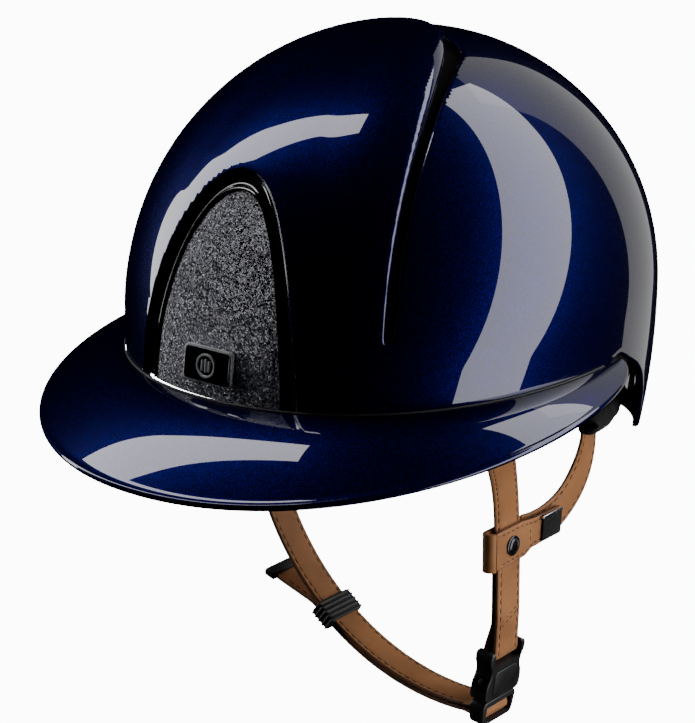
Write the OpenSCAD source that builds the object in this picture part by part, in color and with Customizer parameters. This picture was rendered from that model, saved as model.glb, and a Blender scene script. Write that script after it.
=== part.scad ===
// Equestrian riding helmet: dome shell with a raised front plate and a crest vent,
// wide front brim, foam liner with comfort pads, and a leather chin harness with a
// side-release buckle. +Z is up, the wearer faces -Y and the wearer's left is +X.
// The origin lies on the centre line of the head opening, level with the brim joint.

/* [Shell] */
// Width of the shell at its widest level
shell_w = 210; // [196:1:226]
// Length of the shell at its widest level
shell_l = 252; // [240:1:268]
// Height of the crown above the brim joint
crown_z = 130; // [120:1:140]
// Height of the widest level above the brim joint
widest_z = 16; // [8:1:24]
// Vertical semi-axis of the shell below its widest level
lower_h = 197; // [150:1:260]
// Wall of the outer shell
shell_t = 3; // [2.4:0.1:3.4]
// Height of the shell's lower edge at the nape
nape_z = -57; // [-64:1:-48]

/* [Crest] */
// How far behind the centre the raised front plate ends
crest_y = 16; // [8:1:24]
// Parabola parameter of the plate's edge in plan
crest_k = 42; // [36:1:50]
// Height of the plate's lip at the top
lip_h = 2.6; // [1:0.1:3]
// Width of the vent slot behind the lip at the top
slot_w = 5; // [3:0.5:6]

/* [Brim] */
// Reach of the brim at the front
brim_w = 44; // [36:1:52]
// Reach of the brim towards its rear tips
brim_side_w = 28; // [20:1:34]
// Drop of the brim's edge at the front
brim_drop = 26; // [18:1:30]
// Drop of the brim's edge towards its rear tips
brim_side_drop = 12; // [8:1:18]
// Plan angle of the brim's rear tips
brim_end = 98; // [92:1:102]
// Thickness of the brim
brim_t = 3; // [2.5:0.1:4]

/* [Front insert] */
// Half width of the insert panel at its foot
panel_hw = 33.5; // [30:0.5:36]
// Height of the insert panel's point
panel_top = 81.5; // [76:0.5:86]
// Width of the frame round the panel
frame_w = 7; // [5:0.5:8]

/* [Liner] */
// Depth of the liner's outer face below the shell's surface
liner_out = 6; // [5.8:0.1:7]
// Depth of the liner's inner face below the shell's surface
liner_in = 21; // [19:0.5:23]
// Depth of the comfort pads' inner face
pad_in = 26; // [24:0.5:28]

/* [Harness] */
// Width of the harness straps
strap_w = 18; // [16:1:20]
// Thickness of one strap layer
strap_t = 2; // [1.6:0.1:2.2]
// Side distance of the Y-loops from the centre
loop_x = 64; // [60:1:68]
// Fore-and-aft place of the Y-loops
loop_y = -5; // [-9:1:0]
// Height of the Y-loops
loop_z = -86; // [-90:1:-82]
// Radius of the chin strap's curve
chin_r = 113; // [112:1:114]
// Inward lean of the buckle
buckle_tilt = 9; // [6:1:12]

/* [Hidden] */

half_w = shell_w / 2;
half_l = shell_l / 2;
upper_h = crown_z - widest_z;
plan_n = 2.1;
front_flat = 4.6;
seat_gap = 0.3;

// Height of the shell's lower edge at chosen plan angles, front to nape
rim_table = [[0, -4], [92, -4], [97.5, 2], [103, -4.5], [107, -9], [111, -15.5], [114, -23],
    [116, -31], [117.5, -41], [121, -48], [150, -54], [180, nape_z]];
// The same for the foam liner, which shows below the shell behind the brim's tips
liner_table = [[0, -3], [88, -3], [97, -24], [180, -28]];

chin_centre = [39, -52];
chin_stop = 205.2;
keeper_at = 232.5;
keeper_l = 11;
buckle_top = [62.4, -131];

// Geometry of the dome: t is the plan angle from the front, v the latitude above
// the widest level, o the depth below the outer surface.
function sgn_pow(c) = sign(c) * pow(abs(c), 2 / plan_n);
function wrapped(t) = abs(t > 180 ? t - 360 : t);
function flatten_at(t, z) = let (a = wrapped(t))
    a < 60 && z > 0 && z < 90 ? front_flat * sin(2 * z) * pow(cos(1.5 * a), 2) : 0;
function dome(t, v, o) =
    let (h = v < 0 ? lower_h : upper_h - o)
    let (z = widest_z + h * sin(v))
    let (d = o + flatten_at(t, z))
    [(half_w - o) * cos(v) * sgn_pow(sin(t)), -(half_l - d) * cos(v) * sgn_pow(cos(t)), z];
function lat(z, o = 0) = z < widest_z ? -asin((widest_z - z) / lower_h)
    : asin(min(1, (z - widest_z) / (upper_h - o)));
function rim_lat(t, table) = lat(lookup(wrapped(t), table));
// Front face of the dome above a point of the front view
function front_y(x, z, o) =
    let (v = lat(z, o))
    let (q = pow(max(0, 1 - pow(abs(x) / ((half_w - o) * cos(v)), plan_n)), 1 / plan_n))
    let (t = atan2(abs(x), half_l * cos(v) * q))
    -(half_l - o - flatten_at(t, z)) * cos(v) * q;
// Plan radius and latitude at which the plate's edge crosses plan angle t
function crest_rho(t) = let (s = pow(sin(t), 2), c = cos(t))
    s < 0.0001 ? crest_y : crest_k * (c + sqrt(c * c + 4 * crest_y * s / crest_k)) / (2 * s);
function plan_rho(t) = norm([half_w * sgn_pow(sin(t)), half_l * sgn_pow(cos(t))]);
function dome_angle(t) = let (p = dome(t, 0, 0)) atan2(p.x, -p.y);
slot_lat = lat(28);
function crest_lat(t) = let (a = wrapped(t), p = abs(dome_angle(a)))
    p < 28 ? slot_lat : max(slot_lat, acos(min(1, crest_rho(p) / plan_rho(a))));
function crest_rise(t) = let (v = crest_lat(t)) pow(max(0, sin(v) - sin(slot_lat)), 0.7);

// Faces of a block of points laid out as two grids, outer first then inner
function grid_faces(cols, rows, closed) =
    let (n = (closed ? cols : cols + 1) * (rows + 1), w = closed ? cols : cols + 1)
    concat(
        [for (j = [0:rows - 1], i = [0:cols - 1]) let (a = j * w + i, b = j * w + (i + 1) % w)
            each [[a, b + w, b], [a, a + w, b + w]]],
        [for (j = [0:rows - 1], i = [0:cols - 1]) let (a = j * w + i, b = j * w + (i + 1) % w)
            each [[n + a, n + b, n + b + w], [n + a, n + b + w, n + a + w]]],
        [for (i = [0:cols - 1]) let (a = i, b = (i + 1) % w)
            each [[a, b, n + b], [a, n + b, n + a]]],
        [for (i = [0:cols - 1]) let (a = rows * w + i, b = rows * w + (i + 1) % w)
            each [[a, n + b, b], [a, n + a, n + b]]],
        closed ? [] : [for (j = [0:rows - 1]) let (a = j * w, b = a + w)
            each [[a, n + a, n + b], [a, n + b, b]]],
        closed ? [] : [for (j = [0:rows - 1]) let (a = j * w + cols, b = a + w)
            each [[a, n + b, n + a], [a, b, n + b]]]);

// A curved slab of the dome between two plan angles and two edge heights
module dome_patch(t0, t1, cols, rows, low, high, o_out, o_in) {
    outer = [for (j = [0:rows], i = [0:cols]) let (t = t0 + (t1 - t0) * i / cols)
        dome(t, low(t) + (high(t) - low(t)) * j / rows, o_out)];
    inner = [for (j = [0:rows], i = [0:cols]) let (t = t0 + (t1 - t0) * i / cols)
        dome(t, low(t) + (high(t) - low(t)) * j / rows, o_in)];
    polyhedron(concat(outer, inner), grid_faces(cols, rows, false));
}

// A dome closed at the top; depth(t, j) gives each row's depth and row_lat its latitude
function even_angles(cols) = [for (i = [0:cols - 1]) 360 * i / cols];
module closed_dome(ts, rows, row_lat, depth, wall) {
    cols = len(ts);
    outer = [for (j = [0:rows - 1], t = ts) dome(t, row_lat(t, j), depth(t, j))];
    inner = [for (j = [0:rows - 1], t = ts) dome(t, row_lat(t, j), depth(t, j) + wall)];
    n = cols * rows;
    top = 2 * n;
    faces = concat(
        [for (j = [0:rows - 2], i = [0:cols - 1]) let (a = j * cols + i, b = j * cols + (i + 1) % cols)
            each [[a, b + cols, b], [a, a + cols, b + cols]]],
        [for (j = [0:rows - 2], i = [0:cols - 1]) let (a = j * cols + i, b = j * cols + (i + 1) % cols)
            each [[n + a, n + b, n + b + cols], [n + a, n + b + cols, n + a + cols]]],
        [for (i = [0:cols - 1]) let (b = (i + 1) % cols) each [[i, b, n + b], [i, n + b, n + i]]],
        [for (i = [0:cols - 1]) let (a = n - cols + i, b = n - cols + (i + 1) % cols) [a, top, b]],
        [for (i = [0:cols - 1]) let (a = 2 * n - cols + i, b = 2 * n - cols + (i + 1) % cols)
            [a, b, top + 1]]);
    peak = depth(0, rows);
    polyhedron(concat(outer, inner, [[0, 0, crown_z - peak], [0, 0, crown_z - peak - wall]]), faces);
}

// Rows of the outer shell: below the crest, the slot's two edges, then the plate
below_rows = 8;
above_rows = 5;
function slot_half(t) = slot_w / upper_h * 57 * min(1, 2 * crest_rise(t));
function shell_row(t, j) = let (r = rim_lat(t, rim_table), c = crest_lat(t))
    let (s = c - slot_half(t) - 0.2)
    j <= below_rows ? r + (s - r) * j / below_rows
    : c + (90 - c) * (j - below_rows - 1) / (above_rows + 1);
function shell_depth(t, j) = let (k = crest_rise(t))
    j <= below_rows ? 0.5 * k * j / below_rows
    : -lip_h * k * max(0, 1 - (j - below_rows - 1) / (above_rows + 1));

// Exponents of the pointed arch that the insert follows
ogive_a = 1.7;
ogive_b = 0.48;
module ogive(grow) {
    steps = 16;
    top = panel_top + grow;
    foot = -2;
    right = [for (i = [0:steps]) let (s = 1 - pow(1 - i / steps, 2), z = top * s)
        [(panel_hw + grow) * pow(max(0, 1 - pow(s, ogive_a)), ogive_b), z]];
    left = [for (i = [steps - 1:-1:0]) [-right[i].x, right[i].y]];
    polygon(concat([[panel_hw + grow, foot]], right, left, [[-panel_hw - grow, foot]]));
}

// Plan angles of the shell's columns, closer at the crest and at the rear lobe's edge
side_angles = concat([8, 16, 24, 29, 33, 36], [for (t = [38:1:50]) t], [53, 57, 62, 68, 75, 83, 90, 94, 97.5],
    [for (t = [100:2.5:122.5]) t], [for (t = [130:10:170]) t]);
shell_angles = concat([0], side_angles, [180],
    [for (i = [len(side_angles) - 1:-1:0]) 360 - side_angles[i]]);

module outer_shell() {
    color([0.02, 0.03, 0.14]) difference() {
        closed_dome(shell_angles, below_rows + above_rows + 2, function (t, j) shell_row(t, j),
            function (t, j) shell_depth(t, j), shell_t);
        translate([0, -half_l + 40, 0]) rotate([90, 0, 0]) linear_extrude(60) ogive(frame_w);
    }
}

// Black strip that lines the slot behind the plate's lip
module crest_vent_trim() {
    trim_t = 1;
    depth = shell_t + 1.3;
    color([0.03, 0.03, 0.03]) dome_patch(46, 314, 90, 1,
        function (t) crest_lat(t) - slot_half(t) - 2.5,
        function (t) crest_lat(t) + 1.5,
        depth, depth + trim_t);
}

// Ring of quads round the ogive, each station given by inner and outer growth and depth
module ogive_ring(in_grow, in_depth, out_grow, out_depth, back_depth) {
    n = 24;
    function station(k, grow) =
        let (s0 = abs(k) / n, s = 1 - pow(1 - s0, 2), top = panel_top + grow)
        [sign(k) * (panel_hw + grow) * pow(max(0, 1 - pow(1 - s, ogive_a)), ogive_b), top * (1 - s)];
    function lift(p, o) = [p.x, front_y(p.x, p.y, o), p.y];
    pts = [for (k = [-n:n])
        let (a = station(k, in_grow), b = station(k, out_grow))
        each [lift(a, in_depth), lift(b, out_depth), lift(b, back_depth), lift(a, back_depth)]];
    faces = concat(
        [for (k = [0:2 * n - 1], e = [0:3]) let (a = 4 * k + e, b = 4 * k + (e + 1) % 4)
            each [[a, b, b + 4], [a, b + 4, a + 4]]],
        [[0, 3, 2], [0, 2, 1]],
        let (m = 8 * n) [[m, m + 1, m + 2], [m, m + 2, m + 3]]);
    polyhedron(pts, faces);
}

module front_frame() {
    color([0.01, 0.01, 0.02])
        ogive_ring(0.2, shell_t + 0.4, frame_w - seat_gap, 0.2, shell_t + 1.2);
}

module front_panel() {
    rows = 16;
    cols = 14;
    grow = 4;
    function half(z) = (panel_hw + grow) * pow(max(0.05, 1 - pow(max(0, z) / (panel_top + grow), ogive_a)), ogive_b);
    function level(j) = 1 + (panel_top + grow - 2) * j / rows;
    function sheet(o) = [for (j = [0:rows], i = [0:cols])
        let (z = level(j), x = half(z) * (2 * i / cols - 1)) [x, front_y(x, z, o), z]];
    color([0.35, 0.36, 0.4])
        polyhedron(concat(sheet(shell_t + 1.7), sheet(shell_t + 2.7)), grid_faces(cols, rows, false));
}

plate_z = 13;
plate_y = -half_l + shell_t + 1.2 + front_flat * 0.44;
plate_lean = 8;
module emblem_plate() {
    color([0.05, 0.05, 0.05])
        translate([0, plate_y, plate_z]) rotate([90 - plate_lean, 0, 0]) linear_extrude(2)
            hull() for (x = [-10.5, 10.5], z = [-5.5, 5.5]) translate([x, z]) circle(2, $fn = 32);
}

// Generic motif: three upright bars inside a ring
module emblem_motif() {
    color([0.75, 0.75, 0.78])
        translate([0, plate_y, plate_z]) rotate([90 - plate_lean, 0, 0]) translate([0, 0, 2]) linear_extrude(0.6) {
            difference() {
                circle(5, $fn = 48);
                circle(4, $fn = 48);
            }
            for (x = [-1.8, 0, 1.8]) translate([x, 0]) square([0.9, 4.6], center = true);
        }
}

// Brim section at plan angle t: reach and drop shrink to nothing at the rear tips
function brim_u(t) = min(1, abs(t) / brim_end);
function brim_reach(t) = let (u = brim_u(t))
    (brim_w * pow(cos(90 * u), 2) + brim_side_w * pow(sin(90 * u), 2)) * sqrt(1 - pow(u, 2.27));
function brim_fall(t) = let (u = brim_u(t))
    (brim_drop * pow(cos(90 * u), 2) + brim_side_drop * pow(sin(90 * u), 2)) * sqrt(1 - pow(u, 2.27));
function plan_normal(t) = let (e = 0.5, a = dome(t - e, 0, 0), b = dome(t + e, 0, 0))
    let (d = b - a) [d.y, -d.x, 0] / norm([d.x, d.y]);
function brim_root(t, out) = dome(t, lat(0), 0) + plan_normal(t) * out;
function brim_pt(t, s, lower) = let (r = brim_root(t, seat_gap + 0.3))
    let (reach = brim_reach(t) * s, fall = brim_fall(t) * pow(s, 1.5))
    r + plan_normal(t) * reach + [0, 0, -fall - (lower ? brim_t : 0)];
module brim() {
    cols = 64;
    rows = 6;
    last = brim_end - 1.5;
    function sheet(lower) = [for (j = [0:rows], i = [0:cols])
        brim_pt(-last + 2 * last * i / cols, j / rows, lower)];
    color([0.02, 0.03, 0.14])
        polyhedron(concat(sheet(true), sheet(false)), grid_faces(cols, rows, false));
}

// Rubber strip that closes the joint between the brim and the shell
module brim_gasket() {
    cols = 48;
    function ring(z, out) = [for (i = [0:cols]) let (t = -90 + 180 * i / cols)
        dome(t, lat(z), 0) + plan_normal(t) * out];
    color([0.02, 0.02, 0.02])
        polyhedron(concat(ring(0.2, 2.2), ring(1.4, 1.6), ring(0.2, 0.3), ring(1.4, 0.3)),
            grid_faces(cols, 1, false));
}

module foam_liner() {
    rows = 14;
    color([0.08, 0.08, 0.08])
        closed_dome(even_angles(48), rows, function (t, j) let (r = rim_lat(t, liner_table)) r + (90 - r) * j / rows,
            function (t, j) liner_out, liner_in - liner_out);
}

pad_top = liner_in + 0.9;
module crown_pad() {
    edge = 66;
    color([0.06, 0.06, 0.06])
        closed_dome(even_angles(24), 4, function (t, j) edge + (90 - edge) * j / 4,
            function (t, j) pad_top, pad_in - pad_top);
}
module brow_pad() {
    color([0.06, 0.06, 0.06]) dome_patch(-52, 52, 20, 3, function (t) lat(-2), function (t) lat(26), pad_top, pad_in);
}
module side_pad() {
    color([0.06, 0.06, 0.06]) dome_patch(58, 92, 8, 4, function (t) lat(-1), function (t) lat(52), pad_top, pad_in);
}
module side_pad_left() { side_pad(); }
module side_pad_right() { mirror([1, 0, 0]) side_pad(); }
module nape_pad() {
    color([0.03, 0.03, 0.03]) dome_patch(100, 260, 32, 3,
        function (t) lat(-44 - 8 * pow(sin((t - 100) * 180 / 160), 2)),
        function (t) lat(-30), liner_out + 3, liner_in);
}

// Harness anchors: a plate held by one rivet, [plan angle, height, depth, plate height]
front_anchor = [66, 9.2, 4.6];
rear_anchor = [118, -13, 22.6];
anchor_t = 1.6;
module each_anchor() {
    for (s = [0, 1], a = [front_anchor, rear_anchor]) mirror([s, 0, 0]) {
        p = dome(a.x, lat(a.y), a.z);
        low = dome(a.x, lat(a.y - 4), a.z);
        n = plan_normal(a.x);
        lean = atan2(norm([p.x, p.y]) - norm([low.x, low.y]), 4);
        translate(p) rotate([0, 0, atan2(n.y, n.x)]) rotate([0, 90 + lean, 0]) children();
    }
}
module anchor_plates() {
    color([0.3, 0.3, 0.32]) each_anchor() translate([0, 0, -anchor_t / 2]) difference() {
        translate([-4, -6.5, 0]) cube([8, 13, anchor_t]);
        translate([0, 0, -1]) cylinder(d = 4, h = 4, $fn = 48);
    }
}
module anchor_rivets() {
    color([0.1, 0.1, 0.12]) each_anchor() translate([0, 0, -anchor_t / 2]) cylinder(d = 3.9, h = anchor_t, $fn = 48);
}

// A flat strap along a path; its width lies across the path, square to the facing axis
function unit(v) = v / norm(v);
module ribbon(path, facing, width, thick) {
    n = len(path);
    function along(i) = unit(path[min(n - 1, i + 1)] - path[max(0, i - 1)]);
    function across(i) = unit(cross(along(i), facing(i)));
    function square_off(i) = unit(cross(across(i), along(i)));
    pts = [for (i = [0:n - 1], c = [[-1, -1], [1, -1], [1, 1], [-1, 1]])
        path[i] + across(i) * c.x * width / 2 + square_off(i) * c.y * thick / 2];
    m = 4 * n;
    faces = concat([[0, 3, 2], [0, 2, 1]],
        [for (i = [0:n - 2], e = [0:3]) let (a = 4 * i + e, b = 4 * i + (e + 1) % 4)
            each [[a, b + 4, a + 4], [a, b, b + 4]]],
        [[m - 4, m - 3, m - 2], [m - 4, m - 2, m - 1]]);
    polyhedron(pts, faces);
}
function bezier(p, s) = pow(1 - s, 3) * p[0] + 3 * s * pow(1 - s, 2) * p[1]
    + 3 * s * s * (1 - s) * p[2] + pow(s, 3) * p[3];
function curve(p, n) = [for (i = [0:n]) bezier(p, i / n)];
loop_h = 17.5;
loop_half = 12;
layer = strap_t;
cell_gap = 0.3;
layer_step = layer + cell_gap;
front_t = front_anchor.x;
front_route = concat([dome(front_t, lat(4.8), front_anchor.z)],
    curve([dome(front_t, lat(-6), front_anchor.z), dome(front_t, lat(-24), front_anchor.z + 2),
        [loop_x + 1, loop_y - 3, loop_z + 44], [loop_x, loop_y, loop_z + 10]], 10),
    [[loop_x, loop_y, loop_z - 6]]);
rear_t = rear_anchor.x;
rear_route = concat([dome(rear_t, lat(-17.5), rear_anchor.z)],
    curve([dome(rear_t, lat(-44), rear_anchor.z), [65, 56, -74], [64, 34, -90],
        [loop_x - layer_step, loop_y + loop_half + 0.9, loop_z]], 12));
function turned(t, s) = plan_normal(t) * (1 - s) + [1, 0, 0] * s;
module front_strap() {
    color([0.72, 0.48, 0.3])
        ribbon(front_route, function (i) turned(front_t, min(1, max(0, i - 1) / 8)), strap_w, layer);
}
module rear_strap() {
    color([0.72, 0.48, 0.3])
        ribbon(rear_route, function (i) turned(rear_t, min(1, max(0, i - 1) / 6)), strap_w - 1, layer);
}
module front_strap_left() { front_strap(); }
module front_strap_right() { mirror([1, 0, 0]) front_strap(); }
module rear_strap_left() { rear_strap(); }
module rear_strap_right() { mirror([1, 0, 0]) rear_strap(); }

// The rear strap's end wraps round the front edge of the front strap
inside_x = loop_x - layer_step - layer / 2;
flap_x = loop_x + layer_step - layer / 2 + 0.2;
fold_y = loop_y - loop_half;
module loop_inner() {
    bend = layer_step - layer / 2;
    color([0.7, 0.46, 0.29]) translate([0, 0, loop_z - loop_h / 2]) linear_extrude(loop_h) {
        translate([inside_x, fold_y]) square([layer, 2 * loop_half]);
        translate([loop_x, fold_y]) difference() {
            circle(r = bend + layer, $fn = 64);
            circle(r = bend, $fn = 48);
            translate([-6, 0]) square([12, 6]);
        }
    }
}
module loop_left() { loop_inner(); }
module loop_right() { mirror([1, 0, 0]) loop_inner(); }

// The snapped flap turns about the fold and carries the cap, tag and clip
flap_len = 48;
flap_hinge_y = fold_y + 0.25;
module flap() {
    root = flap_hinge_y + 1.35;
    tip = flap_hinge_y + flap_len;
    slope = 12;
    color([0.72, 0.48, 0.3]) difference() {
        translate([flap_x, 0, 0]) rotate([90, 0, 90]) linear_extrude(layer)
            polygon([[root, loop_z - loop_h / 2], [root + slope + 8, loop_z - loop_h / 2 + 0.6],
                [root + slope + 14, loop_z - loop_h / 2 + 3], [tip, loop_z - loop_h / 2 + 3.2],
                [tip, loop_z + loop_h / 2 - 1.6], [root + slope + 14, loop_z + loop_h / 2 - 1.2],
                [root + slope + 6, loop_z + loop_h / 2]]);
        translate([flap_x, loop_y, loop_z]) rotate([0, 90, 0]) cylinder(d = 4, h = 10, center = true, $fn = 32);
    }
}
module snap_flap_left() { flap(); }
module snap_flap_right() { mirror([1, 0, 0]) flap(); }
module snap_cap() {
    color([0.25, 0.25, 0.27]) translate([flap_x + layer, loop_y, loop_z]) rotate([0, 90, 0]) {
        translate([0, 0, 0]) cylinder(d = 9, h = 1.2, $fn = 48);
        translate([0, 0, -1.8]) cylinder(d = 3.9, h = 2, $fn = 32);
    }
}
module snap_cap_left() { snap_cap(); }
module snap_cap_right() { mirror([1, 0, 0]) snap_cap(); }
module snap_socket() {
    color([0.3, 0.3, 0.32]) translate([inside_x - 1.1, loop_y, loop_z]) rotate([0, 90, 0])
        cylinder(d = 8, h = 1, $fn = 48);
}
module snap_socket_left() { snap_socket(); }
module snap_socket_right() { mirror([1, 0, 0]) snap_socket(); }

tag_w = 14;
tag_h = 10.4;
tag_y = flap_hinge_y + flap_len - tag_w - 1.2;
tag_z = loop_z + 0.5;
module strap_tag() {
    color([0.04, 0.04, 0.04]) translate([flap_x + layer + 0.3, tag_y, tag_z - tag_h / 2]) cube([0.8, tag_w, tag_h]);
}
module strap_tag_left() { strap_tag(); }
module strap_tag_right() { mirror([1, 0, 0]) strap_tag(); }
module tag_clip() {
    color([0.8, 0.8, 0.82]) translate([flap_x + layer + 0.2, tag_y - 0.5, tag_z + tag_h / 2 + 0.1]) cube([1.4, tag_w + 1, 1.4]);
}
module tag_clip_left() { tag_clip(); }
module tag_clip_right() { mirror([1, 0, 0]) tag_clip(); }

// Two sewn layers run from the Y-loop down to the buckle's bar
module across_y(w) { translate([0, loop_y + w / 2, 0]) rotate([90, 0, 0]) linear_extrude(w) children(); }
lower_top = loop_z - loop_h / 2 - 4.65;
module stroke(path, w) {
    for (i = [0:len(path) - 2]) {
        d = path[i + 1] - path[i];
        translate(path[i]) rotate(atan2(d.y, d.x)) translate([0, -w / 2]) square([norm(d), w]);
        if (i > 0) translate(path[i]) circle(d = w, $fn = 32);
    }
}
module lower_strap_left() {
    seam_z = -120;
    bar = buckle_top + [-0.8, -5.2];
    side = layer / 2 + 0.1;
    bar_r = 1.6;
    color([0.72, 0.48, 0.3]) across_y(strap_w - 1) difference() {
        union() {
            for (s = [-1, 1]) stroke([[loop_x + s * side, lower_top], [loop_x + s * side, seam_z],
                bar + [s * (bar_r + layer / 2), 0]], layer);
            translate(bar) circle(r = bar_r + layer, $fn = 64);
        }
        translate(bar) circle(r = bar_r, $fn = 48);
    }
}

// Side-release buckle, drawn along its own axis with the mouth at the bottom
f_w = 25;
f_l = 27;
f_t = 9;
cav_w = 19;
cav_l = 16.5;
cav_t = 4.6;
module at_buckle() {
    translate([buckle_top.x, loop_y, buckle_top.y]) rotate([0, buckle_tilt, 0]) children();
}
module buckle_female() {
    color([0.05, 0.05, 0.05]) at_buckle() difference() {
        translate([-f_t / 2, -f_w / 2, -f_l]) cube([f_t, f_w, f_l - 3.2]);
        translate([-cav_t / 2, -cav_w / 2, -f_l - 1]) cube([cav_t, cav_w, cav_l + 1]);
        for (s = [-1, 1]) translate([0, s * f_w / 2, -f_l + 9]) rotate([90, 0, 0])
            cylinder(d = 7.6, h = 8, center = true, $fn = 48);
        translate([-f_t, -10, -10]) cube([2 * f_t, 20, 12]);
    }
    color([0.05, 0.05, 0.05]) at_buckle() translate([0, 0, -5.2]) rotate([90, 0, 0])
        cylinder(d = 3, h = 22, center = true, $fn = 32);
}
male_top = -f_l - 0.4;
module buckle_male() {
    color([0.05, 0.05, 0.05]) at_buckle() {
        difference() {
            translate([-3.8, -11.5, male_top - 12]) cube([7.6, 23, 12]);
            translate([-8, -9.5, male_top - 10]) cube([16, 19, 7.6]);
        }
        translate([0, 0, male_top - 6.6]) rotate([90, 0, 0]) cylinder(d = 2.6, h = 20, center = true, $fn = 32);
        translate([-1.2, -1.6, male_top - 0.5]) cube([2.4, 3.2, 8]);
    }
}
prong_reach = 15;
module prong(s) {
    color([0.05, 0.05, 0.05]) at_buckle() translate([-1.6, 0, male_top]) rotate([90, 0, 90])
        linear_extrude(3.2) scale([s, 1]) polygon([[5.4, 0.5], [7.4, 0.5], [8, 5], [9.2, 6.2],
            [11.6, 7], [11.8, 10.4], [9, 12.6], [5.6, prong_reach], [4.6, prong_reach], [4.6, 13], [6.2, 9]]);
}
module prong_front() { prong(-1); }
module prong_rear() { prong(1); }

// Chin strap: an arc that the keeper slides along
function arc(r, a0, a1, n) = [for (i = [0:n]) let (a = a0 + (a1 - a0) * i / n)
    chin_centre + r * [cos(a), sin(a)]];
function band(r0, r1, a0, a1, n) = concat(arc(r1, a0, a1, n), arc(r0, a1, a0, n));
male_bar = [buckle_top.x + sin(buckle_tilt) * (male_top - 6.6), buckle_top.y + cos(buckle_tilt) * (male_top - 6.6)];
module chin_strap() {
    color([0.66, 0.43, 0.26]) across_y(strap_w - 1)
        polygon(band(chin_r - strap_t, chin_r, 274, chin_stop, 36));
}
module male_strap_end() {
    wrap_r = 3.1;
    color([0.66, 0.43, 0.26]) across_y(strap_w - 1) difference() {
        union() {
            translate(male_bar) circle(r = wrap_r, $fn = 48);
            polygon([male_bar + [0, wrap_r], chin_centre + (chin_r - strap_t) * [cos(274.6), sin(274.6)],
                chin_centre + (chin_r + strap_t + 0.3) * [cos(274.6), sin(274.6)], male_bar + [0, -wrap_r]]);
        }
        translate(male_bar) circle(r = 1.5, $fn = 48);
    }
}
tail_leave = 228.8;
tail_dir = 162;
tail_len = 24;
tail_from = chin_centre + (chin_r + strap_t / 2 + 0.4) * [cos(tail_leave), sin(tail_leave)];
tail_way = [cos(tail_dir), sin(tail_dir)];
tail_end = tail_from + tail_len * tail_way;
tail_side = strap_t / 2 * [-tail_way.y, tail_way.x];
module chin_tail() {
    color([0.62, 0.4, 0.24]) across_y(strap_w - 1) {
        union() {
            polygon(band(chin_r + 0.4, chin_r + 0.4 + strap_t, 274, tail_leave, 22));
            polygon([tail_from - tail_way + tail_side, tail_end + tail_side, tail_end - tail_side,
                tail_from - tail_way - tail_side]);
        }
    }
}
module tail_tip() {
    color([0.05, 0.05, 0.05]) across_y(strap_w + 0.6)
        translate(tail_end) rotate(tail_dir) translate([0.1, -1.9]) square([6, 3.8]);
}
module keeper() {
    wall = 1.4;
    slack = 0.35;
    depth = 2 * strap_t + 0.4 + 2 * slack;
    color([0.05, 0.05, 0.05]) translate([chin_centre.x, loop_y, chin_centre.y]) rotate([0, -keeper_at, 0])
        translate([chin_r - strap_t - slack, 0, 0]) difference() {
            translate([-wall, -(strap_w + 3.6) / 2, -keeper_l / 2]) cube([depth + 2 * wall, strap_w + 3.6, keeper_l]);
            translate([0, -strap_w / 2, -keeper_l]) cube([depth, strap_w, 2 * keeper_l]);
        }
}

outer_shell();
crest_vent_trim();
front_frame();
front_panel();
emblem_plate();
emblem_motif();
brim();
brim_gasket();
foam_liner();
crown_pad();
brow_pad();
side_pad_left();
side_pad_right();
nape_pad();
anchor_plates();
anchor_rivets();
front_strap_left();
front_strap_right();
rear_strap_left();
rear_strap_right();
loop_left();
loop_right();
snap_flap_left();
snap_flap_right();
snap_cap_left();
snap_cap_right();
snap_socket_left();
snap_socket_right();
strap_tag_left();
strap_tag_right();
tag_clip_left();
tag_clip_right();
lower_strap_left();
buckle_female();
buckle_male();
prong_front();
prong_rear();
male_strap_end();
chin_strap();
chin_tail();
tail_tip();
keeper();
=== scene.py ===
import math

import bmesh
import bpy
import numpy as np
from mathutils import Matrix, Vector


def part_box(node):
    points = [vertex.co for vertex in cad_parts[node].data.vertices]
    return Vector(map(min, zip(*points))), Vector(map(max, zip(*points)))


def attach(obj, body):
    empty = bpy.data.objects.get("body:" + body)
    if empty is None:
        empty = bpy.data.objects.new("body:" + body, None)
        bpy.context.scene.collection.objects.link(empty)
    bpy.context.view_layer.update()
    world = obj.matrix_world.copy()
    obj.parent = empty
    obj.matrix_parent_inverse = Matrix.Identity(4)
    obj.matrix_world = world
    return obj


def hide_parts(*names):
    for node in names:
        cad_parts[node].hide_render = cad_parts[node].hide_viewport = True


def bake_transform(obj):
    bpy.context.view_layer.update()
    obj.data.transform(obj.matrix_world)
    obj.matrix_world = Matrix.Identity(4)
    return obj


# Equestrian riding helmet. Lengths in the formulas are millimetres, angles degrees;
# meshes are scaled to metres when they are made.
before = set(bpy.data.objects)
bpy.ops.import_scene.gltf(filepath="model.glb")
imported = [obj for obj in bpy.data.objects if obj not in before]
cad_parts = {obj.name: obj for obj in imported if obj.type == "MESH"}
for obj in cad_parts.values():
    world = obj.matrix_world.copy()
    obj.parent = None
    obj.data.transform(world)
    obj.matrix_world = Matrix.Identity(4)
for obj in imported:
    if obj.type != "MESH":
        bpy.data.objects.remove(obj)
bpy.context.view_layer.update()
MM = 0.001
scene = bpy.context.scene

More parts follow.
